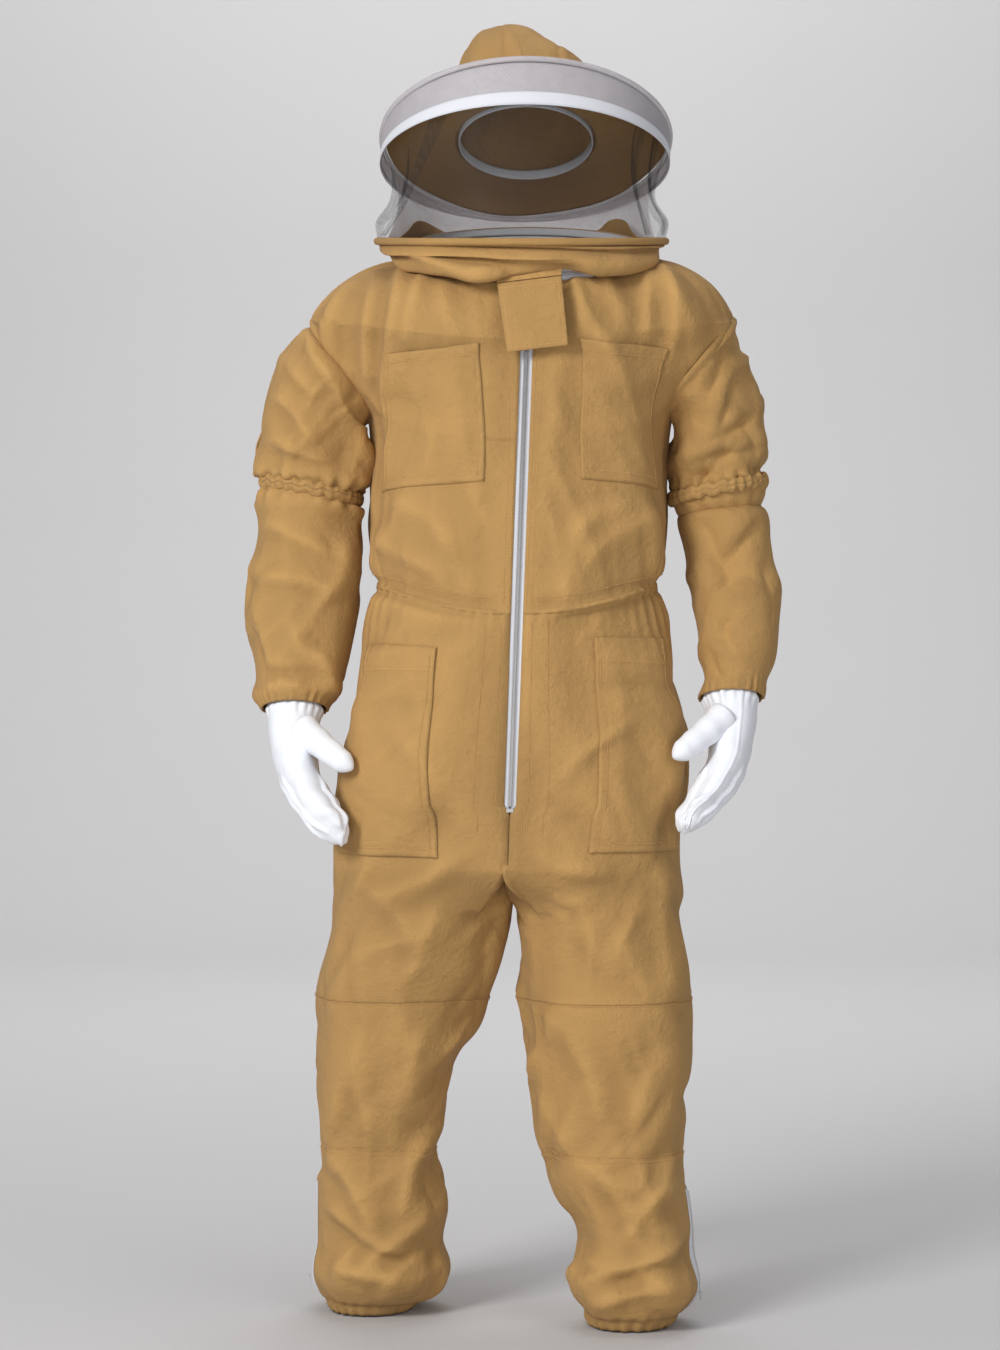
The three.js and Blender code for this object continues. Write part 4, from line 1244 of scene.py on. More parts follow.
class SUIT_OT_trousers(bpy.types.Operator):
    """Trousers: seat, thighs with knee seams, and lower legs with gathered hems"""

    bl_idname = "suit.trousers"
    bl_label = "Trousers"

    def execute(self, context):
        rows = []
        for side, out in SIDES:
            seat = Trouser(side, out, SEAT_FOOT, WAIST + 6, False)
            for near in (0.012, 0.04):
                w = near if out > 0 else 1 - near
                rows.append(seam_line(seat.point, seat.relief, (w, 0.12, w, 0.95)))
            half = Trouser(side, out, KNEE_SEAM - KNEE_LAP, WAIST + 6, True)

            def covered(u, v, half=half):
                """Above the crotch only the outer half is cloth."""
                return (half.share(u) <= 0.5) | (v < (SEAT_FOOT - half.low) / (half.high - half.low))

            top = body_cloth(f"cloth_thigh_{side}", half, (240, 130), True, keep=covered)
            height(655)
            height(495)
            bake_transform(top)
            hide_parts(f"hip_front_{side}", f"hip_back_{side}", f"hip_fold_{side}", f"thigh_{side}")
            sheet(top)
            lower = Trouser(side, out, 0.5, KNEE_SEAM, True)
            leg = body_cloth(f"cloth_lower_leg_{side}", lower, (170, 118), True)
            height(402)
            height(272)
            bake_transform(leg)
            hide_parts(f"knee_fold_{side}", f"shin_{side}")
            sheet(leg)
            heights = (0.985, 0.53, 0.515)
            seams = [seam_line(lower.point, lower.relief, (0.0, v, 1.0, v), 500) for v in heights]
            thread = [stitches(f"seam_{k}", row, 1.1, material("thread")) for k, row in enumerate(seams)]
            sewn = joined(f"stitch_knee_{side}", thread)
            height(402)
            height(272)
            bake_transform(sewn)
        thread = [stitches(f"row_{k}", row, 0.9, material("thread")) for k, row in enumerate(rows)]
        settle(joined("stitch_seat", thread), "coverall")
        return {"FINISHED"}


def height(z):
    """A point of the axis at that height above the hems, in the frame's metres."""
    return (0.0, 0.0, (z - SEAT) * MM)


class SUIT_OT_sleeves(bpy.types.Operator):
    """Sleeves: full upper sleeves, gathered elbow bands, and lower sleeves with elastic cuffs"""

    bl_idname = "suit.sleeves"
    bl_label = "Sleeves"

    def execute(self, context):
        for side, out in SIDES:
            upper, lower = Sleeve(side, out, True), Sleeve(side, out, False)
            top = body_cloth(f"cloth_upper_sleeve_{side}", upper, (130, 66), True)
            centre = np.array(UPPER_ROWS[side][0][:3])
            n = np.array((out * 0.8546, 0, -0.5193))
            tuple(place(centre))
            tuple(place(centre + 75 * n))
            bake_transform(top)
            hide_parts(f"upper_sleeve_{side}")
            sheet(top)
            low = body_cloth(f"cloth_lower_sleeve_{side}", lower, (130, 90), True)
            x = LOWER_ROWS[side][0][0]
            start, end = tuple(place(np.array((x, 10, 1116)))), tuple(place(np.array((x, 0, 1000))))
            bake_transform(low)
            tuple(start)
            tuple(end)
            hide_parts(f"elbow_fold_{side}", f"forearm_sleeve_{side}")
            sheet(low)
            band = elbow_band(side, out)
            settle(band, f"upper_arm_{side}", [f"elbow_elastic_{side}"])
        return {"FINISHED"}


def elbow_band(side, out):
    """The gathered channel of an elbow elastic: a flat rope whose radius swells with the gathers."""
    x, y, z = UPPER_ROWS[side][-1][:3]
    a, b = UPPER_ROWS[side][-1][3:5]

    def point(u, v):
        """A torus round the sleeve with a wavy swell, tilted by ELBOW_TILT cos(turn)."""
        turn = -2 * math.pi * u * out
        roll = 2 * math.pi * v
        swell = 1 + 0.22 * ripples(u, 0, 30, 9)
        grow = 2.5 + 6.5 * np.cos(roll) * swell
        rise = -3 + 9.5 * np.sin(roll) * swell + 2.2 * ripples(u, 0, 17, 4) + ELBOW_TILT * np.cos(turn)
        return stack(x + out * (a + grow) * np.cos(turn), y + out * (b + grow) * np.sin(turn), z + rise)

    return cloth(f"gather_elbow_{side}", point, (240, 15), material("khaki"), True, wall=0.8, flip=True)


class SUIT_OT_pockets(bpy.types.Operator):
    """Pockets: two on the chest, two on the hips and one on the right sleeve, patched on and topstitched"""

    bl_idname = "suit.pockets"
    bl_label = "Pockets"

    def execute(self, context):
        for side, out in SIDES:
            zone = Front(out)
            corners = at_place(zone.point, CHEST_POCKETS[out])
            patch(f"pocket_chest_{side}", zone, corners, (44, 60), f"chest_pocket_{side}", "coverall",
                  f"bodice_front_{side}")
            seat = Trouser(side, out, 600, WAIST + 6, False)
            corners = at_place(seat.point, HIP_POCKETS[out])
            patch(f"pocket_hip_{side}", seat, corners, (40, 84), f"hip_pocket_{side}", "coverall",
                  f"hip_front_{side}", slant=out)
        sleeve = Sleeve("right", -1, True)
        corners = ((0.8, 0.2), (0.97, 0.17), (0.97, 0.7), (0.8, 0.74))
        patch("pocket_sleeve_right", sleeve, corners, (34, 48), "sleeve_pocket_right", "upper_arm_right",
              "upper_sleeve_right")
        return {"FINISHED"}


CHEST_POCKETS = {
    -1: ((-176, 1110), (-37, 1119), (-42, 1300), (-163, 1290)),
    1: ((92, 1122), (194, 1112), (208, 1294), (87, 1306)),
}
HIP_POCKETS = {
    -1: ((-224, 630), (-97, 626), (-96, 903), (-222, 905)),
    1: ((100, 634), (226, 632), (224, 905), (110, 915)),
}


def patch(name, zone, corners, size, node, body, under, slant=0):
    """A patch pocket: the cloth below it, raised, with a rolled edge, a hem fold at the top and two seams.

    With a slant the upper outer corner is cut back for the slanting mouth of a hip pocket.
    """
    spread = patch_region(corners)

    def region(u, v):
        """The patch's place, its upper corner cut off along a slant."""
        if slant:
            cut = 0.36 * smooth(v, 0.6, 0.86)
            u = lerp(0, 1 - cut, u) if slant > 0 else lerp(cut, 1, u)
        return spread(u, v)

    def relief(p, u, v):
        """The cloth's own relief plus the patch's raise, with a rounded edge."""
        grid = np.meshgrid(np.linspace(0, 1, p.shape[1]),
                           np.linspace(0, 1, p.shape[0])) if p.ndim == 3 else None
        rise = zone.relief(p, u, v)
        if grid is None:
            return rise + 3.4
        a, b = grid
        edge = np.minimum(np.minimum(a, 1 - a) * 9, np.minimum(b, 1 - b) * 12)
        puff = 3.5 * np.sin(math.pi * a) * smooth(b, 0.2, 0.95)
        hem = 1.1 * smooth(b, 0.895, 0.905)
        sunk = 0.9 * (bell(a, 0.055, 0.012) + bell(a, 0.945, 0.012) + bell(b, 0.04, 0.01))
        return rise + 2.4 + 1.0 * smooth(edge, 0, 0.35) + puff * (0 if slant else 1) + hem - sunk

    obj = cloth(name, zone.point, size, material("khaki"), False, relief, wall=1.5, region=region)
    settle(obj, body, [node])
    sheet(obj)
    rows = []
    for line in ((0.055, 0.03, 0.055, 0.97), (0.945, 0.03, 0.945, 0.97), (0.05, 0.045, 0.95, 0.045),
                 (0.03, 0.9, 0.97, 0.9)):
        t = np.linspace(0, 1, 200)
        a, b = lerp(line[0], line[2], t), lerp(line[1], line[3], t)
        u, v = region(a, b)
        p = zone.point(u, v)
        e = 2e-3
        du = zone.point(np.clip(u + e, 0, 1), v) - zone.point(np.clip(u - e, 0, 1), v)
        dv = zone.point(u, np.clip(v + e, 0, 1)) - zone.point(u, np.clip(v - e, 0, 1))
        normal = unit(np.cross(du, dv))
        puff = 0 if slant else 3.5 * np.sin(math.pi * a) * smooth(b, 0.2, 0.95)
        rise = zone.relief(p, u, v) + 3.4 + puff + 1.1 * smooth(b, 0.895, 0.905)
        rows.append((p + normal * np.asarray(rise)[:, None], normal))
    thread = [stitches(f"{name}_{k}", row, 0.1, material("thread")) for k, row in enumerate(rows)]
    settle(joined(name.replace("pocket", "stitch"), thread), body)


class SUIT_OT_zip(bpy.types.Operator):
    """Front and ankle zips: white tapes and rows of metal teeth"""

    bl_idname = "suit.zip"
    bl_label = "Zips"

    def execute(self, context):
        pitch = context.scene.suit_sizes.tooth
        made = []
        for side, out in SIDES:
            def strip(u, v, out=out):
                """A strip 14 mm wide beside the zip's line, hollowed by half a sine."""
                z = lerp(FLY_FOOT - 2, ZIP_TOP, v)
                near, far = (1.0, 15.0) if out > 0 else (-15.0, -1.0)
                return stack(zip_x(z) + lerp(near, far, u), zip_y(z) + 1.6 - 0.5 * np.sin(u * math.pi), z)

            obj = cloth(f"tape_front_zip_{side}", strip, (8, 140), material("tape"), wall=0.7)
            settle(obj, "coverall", [f"zip_tape_{side}"])
            z = np.arange(FLY_FOOT + 2, ZIP_TOP - 2, pitch) + (pitch / 2 if out > 0 else 0)
            at = stack(zip_x(z) + out * 1.1, zip_y(z) - 0.4, z)
            axes = np.broadcast_to(np.diag((4.6, 2.6, pitch * 0.42)), (len(z), 3, 3))
            made.append(repeated(f"teeth_{out}", BLOCK, BLOCK_FACES, at, axes, material("steel")))
        settle(joined("teeth_front_zip", made), "coverall", ["zip_chain"])
        for side, out in SIDES:
            ankle_zip(side, out, pitch)
        for name in ("zip_bottom_stop", "zip_slider", "zip_puller", "neck_slider_right", "neck_slider_left",
                     "ankle_slider_right", "ankle_slider_left"):
            refinish(name, "steel")
        return {"FINISHED"}


def ankle_zip(side, out, pitch):
    """The zip on the outside of an ankle: tape and teeth lying on the cloth's own folds."""
    leg = Trouser(side, out, 0.5, KNEE_SEAM, True)

    def outer(u, v):
        """The leg's surface in a strip either side of its outer line."""
        around = 0.25 + (u - 0.5) * 0.045
        share = around if out > 0 else 1 - around
        return leg.point(share, lerp(0.055, 0.41, v))

    def relief(p, u, v):
        """The leg's own relief there plus 1.5 mm."""
        around = 0.25 + (u - 0.5) * 0.045
        share = around if out > 0 else 1 - around
        return leg.relief(p, share, lerp(0.055, 0.41, v)) + 1.5

    obj = cloth(f"tape_ankle_zip_{side}", outer, (9, 60), material("tape"), False, relief, wall=1.1,
                flip=out < 0)
    settle(obj, f"lower_leg_{side}", [f"ankle_zip_{side}"])
    line, normal = seam_line(outer, relief, (0.5, 0.0, 0.5, 1.0))
    step = np.linalg.norm(np.diff(line, axis=0), axis=1)
    dist = np.concatenate([[0], np.cumsum(step)])
    s = np.arange(pitch, dist[-1] - pitch, pitch)
    at = np.stack([np.interp(s, dist, line[:, k]) for k in range(3)], -1)
    at = at + stack(out * 0.7 + 0 * s, 0 * s, 0 * s)
    axes = np.broadcast_to(np.diag((2.6, 5.0, pitch * 0.45)), (len(s), 3, 3))
    teeth = repeated(f"teeth_ankle_zip_{side}", BLOCK, BLOCK_FACES, at, axes, material("steel"))
    settle(teeth, f"lower_leg_{side}")


def refinish(node, key):
    """Gives a node of the frame one of the suit's finishes."""
    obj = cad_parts[node]
    obj.data.materials.clear()
    obj.data.materials.append(material(key))


COLLAR_FOLDS = (
    (-0.235, 0.86, 0.02, 0.52, 0.09, 13.0),
    (-0.2, 0.62, -0.02, 0.16, 0.07, 12.0),
    (-0.1, 0.98, 0.08, 0.7, 0.07, -9.0),
    (-0.14, 0.36, 0.06, 0.02, 0.08, 7.0),
    (0.0, 0.42, 0.2, 0.3, 0.12, 9.0),
    (0.05, 0.8, 0.22, 0.84, 0.09, 6.0),
    (-0.27, 0.5, -0.16, 0.12, 0.1, 8.0),
    (0.3, 0.7, 0.45, 0.3, 0.12, 8.0),
    (0.5, 0.35, 0.68, 0.75, 0.12, 8.0),
)


def collar_relief(p, u, v, a):
    """Soft folds of the collar on (turn, share of its height): ridges with a steep lower side."""
    total = np.zeros(np.shape(v))
    for a0, v0, a1, v1, width, height in COLLAR_FOLDS:
        share = (a - a0) / (a1 - a0)
        line = lerp(v0, v1, np.clip(share, 0, 1))
        q = (v - line) / width
        shape = np.where(q > 0, np.exp(-0.35 * q * q), np.exp(-1.6 * q * q))
        total += height * shape * smooth(share, -0.25, 0.25) * (1 - smooth(share, 0.75, 1.25))
    return total * smooth(v, 0, 0.16) * smooth(1 - v, 0, 0.12)


def collar(front):
    """Collar between the neck zip and the hoop; turn 0 is the front."""
    first, last = (-0.3, 0.3) if front else (0.3, 0.7)

    def point(u, v):
        """Straight from neck ring to hoop, plus a swell of 9 sin(pi v) and a droop in front."""
        a = lerp(first, last, u)
        low, high = on_ring(NECK, a, -1.5, 16), on_ring(HOOP, a, -2, -5)
        away = on_ring(HOOP, a, 1) - on_ring(HOOP, a, 0)
        droop = bell(v, 0.2, 0.22) * smooth(v, 0, 0.08) * smooth(np.cos(a * 2 * math.pi), -0.2, 0.7)
        swell = 9 * np.sin(v * math.pi) + droop * (4 + 13 * smooth(np.abs(a - 0.01), 0.03, 0.07))
        p = lerp(low, high, v[..., None]) + away * swell[..., None]
        return p - stack(0 * a, 0 * a, droop * (6 + 17 * smooth(np.abs(a - 0.01), 0.03, 0.08)))

    def relief(p, u, v):
        """The collar's folds plus low waves."""
        return collar_relief(p, u, v, lerp(first, last, u)) + ripples(u, 0, 9, 3) * 1.4 * np.sin(v * math.pi)

    return point, relief


def veil(front):
    """Veil between the hoop and the brim, drawn in at the sides and folded where it is gathered."""
    first, last = (-0.3, 0.3) if front else (0.3, 0.7)

    def point(u, v):
        """Straight from hoop to brim, drawn in by 14 sin(pi v) sin^2(turn), waves and, in front, two sags."""
        a = lerp(first, last, u)
        pinch = 14 * np.sin(v * math.pi) * np.sin(a * 2 * math.pi) ** 2
        base = lerp(on_ring(HOOP, a, -3, 5), on_ring(BRIM, a, -2, -4), v[..., None])
        away = on_ring(HOOP, a, 1) - on_ring(HOOP, a, 0)
        if front:
            left, right = bell(a, -0.17 - 0.05 * (1 - v), 0.018), bell(a, 0.19 - 0.04 * v, 0.014)
            sag = 16 * np.sin(v * math.pi) * left + 12 * np.sin(v * math.pi) * right
            pinch = pinch + sag - 13 * bell(v, 0.16, 0.14) * smooth(np.abs(a), 0.16, 0.24)
        wave = ripples(u, 0, 7, 12) * 3.0 * np.sin(v * math.pi)
        return base - away * (pinch + wave)[..., None]

    return point


def band_point(low, high, out):
    """A strip of the veil's top between two shares of its height."""
    def point(u, v):
        """Straight from hoop to brim between the two shares, set out by a width."""
        w = lerp(low, high, v)
        return lerp(on_ring(HOOP, u, -3, 5), on_ring(BRIM, u, -2, -4), w[..., None]) + (
            on_ring(HOOP, u, out) - on_ring(HOOP, u, 0)
        )

    return point


BAND_FOOT = 0.79


def crown_point(u, v):
    """The crown: rings in the brim's plane that shrink with the cosine's 0.62 power up to a leaning peak."""
    a = v * math.pi / 2
    turn = u * 2 * math.pi
    r = 103 * np.maximum(np.cos(a), 0) ** 0.62
    h = 4 + 158 * np.sin(a)
    x = r * np.sin(turn) - 26 * smooth(v, 0.1, 1.0)
    y = -r * np.cos(turn)
    slope = 1 - 0.2 * smooth(x, -34, 84) * smooth(v, 0.2, 0.8)
    return on_tilted(BRIM, x, y, 4 + (h - 4) * slope)


def on_tilted(ring, x, y, up):
    """A point of a ring's tilted plane: x to the left, y backwards in the plane, up along the axis."""
    c, s = math.cos(ring["tilt"]), math.sin(ring["tilt"])
    return stack(x, c * y - s * up, s * y + c * up) + ring["centre"]


class SUIT_OT_hood(bpy.types.Operator):
    """Hood: collar, hoop, veils, band, brim and crown"""

    bl_idname = "suit.hood"
    bl_label = "Hood"

    def execute(self, context):
        turn = np.arange(220) / 220
        for front, name in ((True, "front"), (False, "back")):
            point, relief = collar(front)
            obj = cloth(f"cloth_collar_{name}", point, (170 if front else 110, 36), material("khaki"),
                        False, relief, wall=1.0)
            if front:
                settle(obj, "hood", ["collar_front"])
            else:
                start, end = place(on_ring(NECK, 0.5, 0, 16)), place(on_ring(HOOP, 0.5, 0, -5))
                tuple(start)
                tuple(end)
                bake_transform(obj)
                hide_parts("collar_back")
            sheet(obj)
            key = "black_net" if front else "back_net"
            net_obj = cloth(f"net_veil_{name}", veil(front), (150 if front else 100, 50), material(key),
                            wall=0.5)
            settle(net_obj, "hood", [f"veil_{name}"])
            sheet(net_obj)
        def lining(u, v):
            """A quarter-sine slope inwards from the hoop, with humps that rise as bells."""
            a = lerp(0.27, 0.73, u)
            hump = bell(a, 0.35, 0.04) + 0.9 * bell(a, 0.66, 0.045) + 0.3 * bell(a, 0.5, 0.08)
            return on_ring(HOOP, a, -9 - 22 * np.sin(v * math.pi / 2), lerp(-14, 3 + 27 * hump, v))

        inside = cloth("cloth_collar_inside", lining, (130, 14), material("khaki"), False,
                       lambda p, u, v: ripples(u, 0, 8, 4) * 3 * v, wall=1.0, flip=True)
        settle(inside, "hood")
        sheet(inside)
        for name, foot, head, wide in (("left", -0.215, -0.085, 0.016), ("right", 0.175, 0.16, 0.011),
                                       ("outer", 0.235, 0.2, 0.012)):
            surface = veil(True)

            def pleat(u, v, surface=surface, foot=foot, head=head, wide=wide):
                """A narrow strip up the veil, set inwards by 2.5 + 5 sin(pi u) mm."""
                a = lerp(foot, head, v**0.8) + (u - 0.5) * 2 * wide * lerp(0.5, 1.0, v)
                inward = on_ring(HOOP, a, -1) - on_ring(HOOP, a, 0)
                depth = 2.5 + 5 * np.sin(u * math.pi)
                return surface((a + 0.3) / 0.6, lerp(0.02, 0.95, v)) + inward * depth[..., None]

            fold = cloth(f"net_pleat_{name}", pleat, (12, 40), material("black_net"), wall=0.5)
            settle(fold, "hood")
        hoop = tube("cord_hoop", on_ring(HOOP, turn), 5.0, material("khaki"), 12, True)
        settle(hoop, "hood", ["hood_hoop"])
        band = cloth("net_band", band_point(BAND_FOOT, 1.0, 2.6), (200, 14), material("white_net"), True,
                     wall=0.6)
        settle(band, "hood", ["veil_band"])
        sheet(band)
        bound = cloth("binding_band", band_point(BAND_FOOT - 0.03, BAND_FOOT + 0.045, 3.8), (200, 5),
                      material("binding"), True, wall=1.0)
        settle(bound, "hood")
        rim = tube("piping_brim", on_ring(BRIM, turn), 4.0, material("white_net"), 10, True)
        settle(rim, "hood", ["brim_rim"])

        def brim(u, v):
            """A flat ring in the brim's plane, raised by 4 sin(pi v) and by waves of 3 and 7 turns."""
            a = 2 * math.pi * u
            r = lerp(95, 191, v)
            up = 4 * np.sin(v * math.pi) + 2.2 * np.sin(3 * a + 1) * v + 1.2 * np.sin(7 * a) * v - 2 * (1 - v)
            return on_tilted(BRIM, r * np.sin(a), -r * np.cos(a), up)

        settle(cloth("cloth_brim", brim, (160, 22), material("khaki"), True, wall=1.6), "hood",
               ["brim"])
        creases = Creases(crown_point, 77, 22, 46, 6.0, 0.3)

        def crown_relief(p, u, v):
            """Creases, and in front two sunk seams and a raised panel, fading to the top and the foot."""
            x = p[..., 0] - BRIM["centre"][0]
            seam = -2.2 * bell(x, -33, 2.5) - 2.2 * bell(x, 42, 2.5)
            seam = seam + 3.5 * smooth(x, 36, 50) * smooth(v, 0.2, 0.5)
            ahead = smooth(-p[..., 1], -60, 40)
            return (creases(p) + seam * ahead) * smooth(1 - v, 0.0, 0.2) * smooth(v, 0, 0.1)

        def crown_surface(u, v):
            """The crown, stopped a hair below its pole."""
            return crown_point(u, lerp(0.0, 0.9995, v))

        settle(cloth("cloth_crown", crown_surface, (150, 60), material("khaki"), True, crown_relief,
                     wall=1.0),
               "hood", ["crown"])

        def sweat(u, v):
            """A short upright band of radius 91 mm in the brim's plane."""
            a = 2 * math.pi * u
            return on_tilted(BRIM, 91 * np.sin(a), -91 * np.cos(a), lerp(-5, 9, v))

        settle(cloth("tape_sweatband", sweat, (90, 6), material("tape"), True, wall=1.4), "hood",
               ["sweatband"])
        ringed = [stitches(f"brim_{k}", (brim(turn, np.full(220, r)) + 0.4,
                                         np.broadcast_to(on_tilted(BRIM, 0, 0, 1) - BRIM["centre"],
                                                         (220, 3))),
                           0.4, material("thread")) for k, r in enumerate((0.25, 0.5, 0.75, 0.95))]
        settle(joined("stitch_brim", ringed), "hood")
        return {"FINISHED"}


class SUIT_OT_neck(bpy.types.Operator):
    """Neck: the round zip that joins hood and coverall, and the flap over the top of the front zip"""

    bl_idname = "suit.neck"
    bl_label = "Neck zip and flap"

    def execute(self, context):
        pitch = context.scene.suit_sizes.tooth
        for name, low, high, first, last, body, node in (
            ("body", -4.5, 4.0, -0.5, 0.5, "coverall", "neck_zip_tape_body"),
            ("hood", 5.5, 17.0, -0.36, 0.36, "hood", "neck_zip_tape_hood"),
            ("nape", 5.5, 17.0, 0.36, 0.64, "coverall", "neck_zip_tape_nape"),
        ):
            def strip(u, v, low=low, high=high, first=first, last=last):
                """A strip along the neck ring between two heights, out by a bulge of half a sine."""
                bulge = 0.4 + 0.3 * np.sin(v * math.pi)
                return on_ring(NECK, lerp(first, last, u), bulge, lerp(low, high, v))

            closed = name == "body"
            obj = cloth(f"tape_neck_zip_{name}", strip, (200, 5), material("tape"), closed, wall=0.9)
            settle(obj, body, [node])
        made = []
        for k, up in enumerate((3.4, 5.4)):
            count = int(2 * math.pi * NECK["radius"] / pitch)
            turn = (np.arange(count) + 0.5 * k) / count
            at = on_ring(NECK, turn, 1.2, up)
            radial = unit(on_ring(NECK, turn, 1) - on_ring(NECK, turn, 0))
            axis = unit(on_ring(NECK, turn, 0, 1) - on_ring(NECK, turn, 0, 0))
            axes = np.stack([np.cross(axis, radial) * 1.3, radial * 2.4, axis * 3.4], 1)
            made.append(repeated(f"neck_{k}", BLOCK, BLOCK_FACES, at, axes, material("steel")))
        settle(joined("teeth_neck_zip", made), "coverall", ["neck_zip_chain"])
        hinge = np.array((22.0, -174.0, 1379.0))
        across = np.array((0.99255, 0, 0.12187))
        down = np.array((0.12187, 0.0, -0.99255))

        def flap(u, v):
            """A leaf of 84 by 90 mm hung from its hinge line, bowed by a product of two sines."""
            drop = lerp(90, 0, v)
            wide = lerp(-42, 42, u) * lerp(0.95, 1.0, v)
            bow = 2.2 * np.sin(v * math.pi) * np.sin(u * math.pi) + 1.5 * bell(v, 1.0, 0.12)
            return hinge + across * wide[..., None] + down * drop[..., None] + stack(0 * u, -2.4 - bow, 0 * u)

        def flap_relief(p, u, v):
            """An edge 0.7 mm lower, a sunk seam 5 mm inside it, and slow waves that grow downwards."""
            edge = np.minimum(np.minimum(u, 1 - u) * 84, (v + 0.001) * 90)
            wave = 1.2 * np.sin(u * 6 + v * 3) + 0.8 * np.sin(v * 9 + 2 * u)
            return 0.7 * smooth(edge, 2.0, 5.5) - 0.5 * bell(edge, 5.0, 1.0) + wave * (1 - v)

        leaf = cloth("cloth_flap", flap, (44, 46), material("khaki"), False, flap_relief, wall=2.2)
        settle(leaf, "neck_flap", ["flap"])
        sheet(leaf)
        edge_rows = []
        for line in ((0.06, 0.06, 0.06, 0.95), (0.94, 0.06, 0.94, 0.95), (0.05, 0.055, 0.95, 0.055),
                     (0.04, 0.93, 0.96, 0.93)):
            edge_rows.append(seam_line(flap, flap_relief, line))
        thread = [stitches(f"flap_{k}", row, 0.2, material("thread")) for k, row in enumerate(edge_rows)]
        settle(joined("stitch_flap", thread), "neck_flap")
        for node, key in (("flap_yoke", "khaki"), ("flap_hook_pad", "pile"), ("flap_loop_pad", "pile")):
            refinish(node, key)
        point, relief = collar(True)
        above = seam_line(point, relief, (0.42, 0.1, 0.66, 0.1))
        settle(stitches("stitch_collar", above, 0.8, material("thread")), "hood")
        return {"FINISHED"}


GLOVE_ROWS = (
    (-62, 0, 0, 22, 24),
    (-30, 0, 0, 29, 31),
    (0, 0, 0, 34, 37),
    (45, 1, 4, 31, 43),
    (95, 9, 14, 27, 44),
    (140, 32, 26, 23, 38),
    (172, 54, 34, 17, 30),
    (188, 64, 38, 9, 18),
    (195, 68, 39, 0.5, 0.8),
)


def hand_place(side, out, down, inwards, forwards):
    """A point of the hand: along the forearm's line, then towards the body, then forwards of that line."""
    x, y, z = LOWER_ROWS[side][-1][:3]
    tilt = math.radians(16)
    p = stack(x - out * inwards, y + 0 * down, z + 0 * down)
    ahead = np.array((0, -math.cos(tilt), math.sin(tilt)))
    along = np.array((0, -math.sin(tilt), -math.cos(tilt)))
    return p + along * np.asarray(down)[..., None] + ahead * np.asarray(forwards)[..., None]


class Glove:
    """The hand of a glove: ellipses along the fingers' curve, with grooves between the four fingers."""

    def __init__(self, side, out):
        self.side, self.out = side, out
        self.creases = Creases(self.point, 91 + out, 26, 24, 3.0, 0.8)

    def point(self, u, v):
        """An ellipse round the hand's line at each row; the tips are shorter at the sides by 12 sin^2 mm."""
        down, inwards, forwards, thick, broad = np.moveaxis(spline(GLOVE_ROWS, 1 - v), -1, 0)
        a = 2 * math.pi * u * self.out
        down = down - 12 * np.sin(a) ** 2 * smooth(down, 140, 180) * (1 - smooth(down, 186, 195))
        inwards, forwards = inwards + thick * np.cos(a), forwards + broad * np.sin(a)
        return hand_place(self.side, self.out, down, inwards, forwards)

    def relief(self, p, u, v):
        """Three grooves between four fingers, low waves for the joints, two seams and a gathered wrist."""
        down = np.moveaxis(spline(GLOVE_ROWS, 1 - v), -1, 0)[0]
        across = np.sin(2 * math.pi * u * self.out)
        finger = smooth(down, 92, 122) * (1 - smooth(down, 168, 190))
        between = bell(across, -0.5, 0.09) + bell(across, 0.0, 0.09) + bell(across, 0.5, 0.09)
        groove = between * -5.5 * finger
        joint = np.sin(down * 0.22) * 0.9 * finger
        seam = -1.5 * (bell(u, 0.3, 0.007) + bell(u, 0.19, 0.007)) * smooth(down, -20, 0)
        wrist = ripples(u, 0, 16, 2) * 1.8 * bell(down, 4, 11) - 2.6 * bell(down, 4, 5)
        return self.creases(p) * smooth(v, 0.03, 0.12) * smooth(down, -30, 10) + groove + joint + seam + wrist


class SUIT_OT_gloves(bpy.types.Operator):
    """Gloves: hand with finger grooves and back seams, thumb and elastic wrist"""

    bl_idname = "suit.gloves"
    bl_label = "Gloves"

    def execute(self, context):
        for side, out in SIDES:
            glove = Glove(side, out)
            hand = cloth(f"hand_{side}", glove.point, (130, 110), material("leather"), True, glove.relief,
                         wall=1.4, flip=True)
            close_ends(hand)
            t = np.linspace(0, 1, 34)
            path = hand_place(side, out, lerp(34, 98, t), lerp(12, 82, t) - 10 * t * (1 - t), lerp(34, 60, t))
            size = lerp(21, 14.5, t) * np.sqrt(np.clip((1 - t) / 0.16, 0.03, 1)) * (1 + 0.03 * np.sin(t * 22))
            thumb = tube(f"thumb_{side}", path, size, material("leather"), 22, ends=False)
            settle(joined(f"leather_glove_{side}", [hand, thumb]), f"hand_{side}",
                   [f"glove_{side}"])
        return {"FINISHED"}


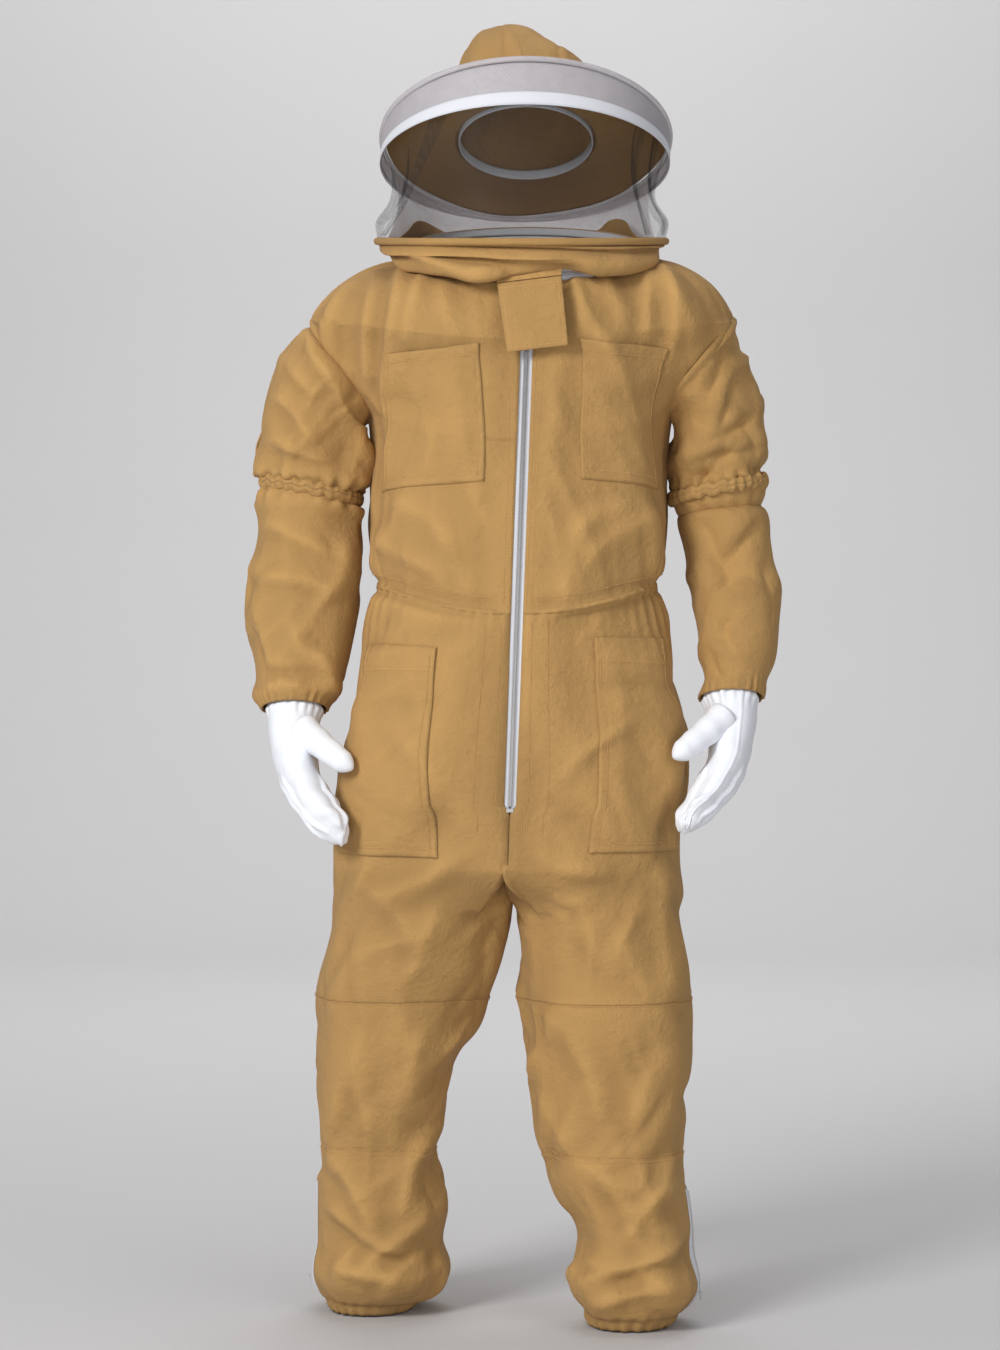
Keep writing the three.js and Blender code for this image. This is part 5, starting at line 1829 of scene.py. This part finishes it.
class SUIT_OT_stage(bpy.types.Operator):
    """Stage: pale floor and backdrop, soft lights and the camera"""

    bl_idname = "suit.stage"
    bl_label = "Stage"

    def execute(self, context):
        floor = LOW[2] - 0.002
        turn = np.linspace(0, math.pi / 2, 16)
        y = np.concatenate([[-30.0], 5.5 + 2.5 * np.sin(turn), [8.0]])
        z = np.concatenate([[0.0], 2.5 - 2.5 * np.cos(turn), [14.0]]) + floor
        x = np.linspace(-30, 30, 5)
        points = np.stack([np.broadcast_to(x, (len(y), 5)), np.repeat(y[:, None], 5, 1),
                           np.repeat(z[:, None], 5, 1)], -1)
        mesh = bpy.data.meshes.new("paper")
        mesh.from_pydata(points.reshape(-1, 3), [], grid_faces(len(y), 5, False).tolist())
        mesh.polygons.foreach_set("use_smooth", np.ones(len(mesh.polygons), bool))
        mesh.materials.append(plain_paint("studio paper", (0.56, 0.551, 0.549)))
        paper = bpy.data.objects.new("studio_paper", mesh)
        context.scene.collection.objects.link(paper)
        paper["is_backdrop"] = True
        for name, spot, aim, size, watts in (
            ("key", (-2.7, -3.7, 1.35), (0, 0, -0.5), 1.5, 172),
            ("fill", (3.2, -3.6, 0.1), (0, 0, -0.4), 2.6, 40),
            ("top", (0.3, -0.3, 3.4), (0, 0.1, -0.2), 2.2, 34),
            ("low", (-0.5, -3.0, -0.7), (0, 0, 0.2), 1.6, 17),
            ("paper_light", (0.0, 3.2, 4.6), (0, 8.0, 0.0), 4.0, 330),
        ):
            data = bpy.data.lights.new(name, "AREA")
            data.energy = watts
            data.shape = "SQUARE"
            data.size = size
            lamp = bpy.data.objects.new(name, data)
            context.scene.collection.objects.link(lamp)
            away = np.array(spot) - np.array(aim)
            lamp.location = spot
            flat = math.hypot(away[0], away[1])
            lamp.rotation_euler = (math.atan2(flat, away[2]), 0, math.atan2(away[0], -away[1]))
        world = bpy.data.worlds.new("studio")
        world.use_nodes = True
        world.node_tree.nodes["Background"].inputs[0].default_value = (0.9, 0.93, 1.0, 1)
        world.node_tree.nodes["Background"].inputs[1].default_value = 0.27
        context.scene.world = world
        camera = bpy.data.cameras.new("camera")
        camera.lens = 84.7
        camera.sensor_width = 36
        camera.clip_end = 60
        eye = bpy.data.objects.new("camera", camera)
        eye.location = (-0.016, -4.3, (866 - SEAT) * MM)
        eye.rotation_euler = (math.pi / 2, 0, 0)
        context.scene.collection.objects.link(eye)
        context.scene.camera = eye
        context.scene.view_settings.view_transform = "Standard"
        return {"FINISHED"}


STEPS = (
    SUIT_OT_stage,
    SUIT_OT_bodice,
    SUIT_OT_trousers,
    SUIT_OT_sleeves,
    SUIT_OT_pockets,
    SUIT_OT_zip,
    SUIT_OT_hood,
    SUIT_OT_neck,
    SUIT_OT_gloves,
)


class SUIT_PT_panel(bpy.types.Panel):
    """Lists the suit's operators, sizes and colours."""

    bl_idname = "SUIT_PT_panel"
    bl_label = "Beekeeping suit"
    bl_space_type = "VIEW_3D"
    bl_region_type = "UI"
    bl_category = "Bee suit"

    def draw(self, context):
        column = self.layout.column()
        for group in (context.scene.suit_sizes, context.scene.suit_colours):
            for key in group.__annotations__:
                column.prop(group, key)
        for step in STEPS:
            column.operator(step.bl_idname)


CLASSES = (SUIT_PG_colours, SUIT_PG_sizes, *STEPS, SUIT_PT_panel)


def register():
    """Makes the groups of settings, the pieces' operators and the panel known to Blender."""
    for cls in CLASSES:
        bpy.utils.register_class(cls)
    bpy.types.Scene.suit_colours = bpy.props.PointerProperty(type=SUIT_PG_colours)
    bpy.types.Scene.suit_sizes = bpy.props.PointerProperty(type=SUIT_PG_sizes)


def unregister():
    """Takes back all that register did, in reverse order."""
    del bpy.types.Scene.suit_sizes
    del bpy.types.Scene.suit_colours
    for cls in reversed(CLASSES):
        bpy.utils.unregister_class(cls)


def main():
    """Builds every piece in order."""
    cad_box = [list(map(float, corner)) for corner in (LOW, HIGH)]
    register()
    for step in STEPS:
        group, name = step.bl_idname.split(".")
        getattr(getattr(bpy.ops, group), name)()


if __name__ == "__main__":
    main()
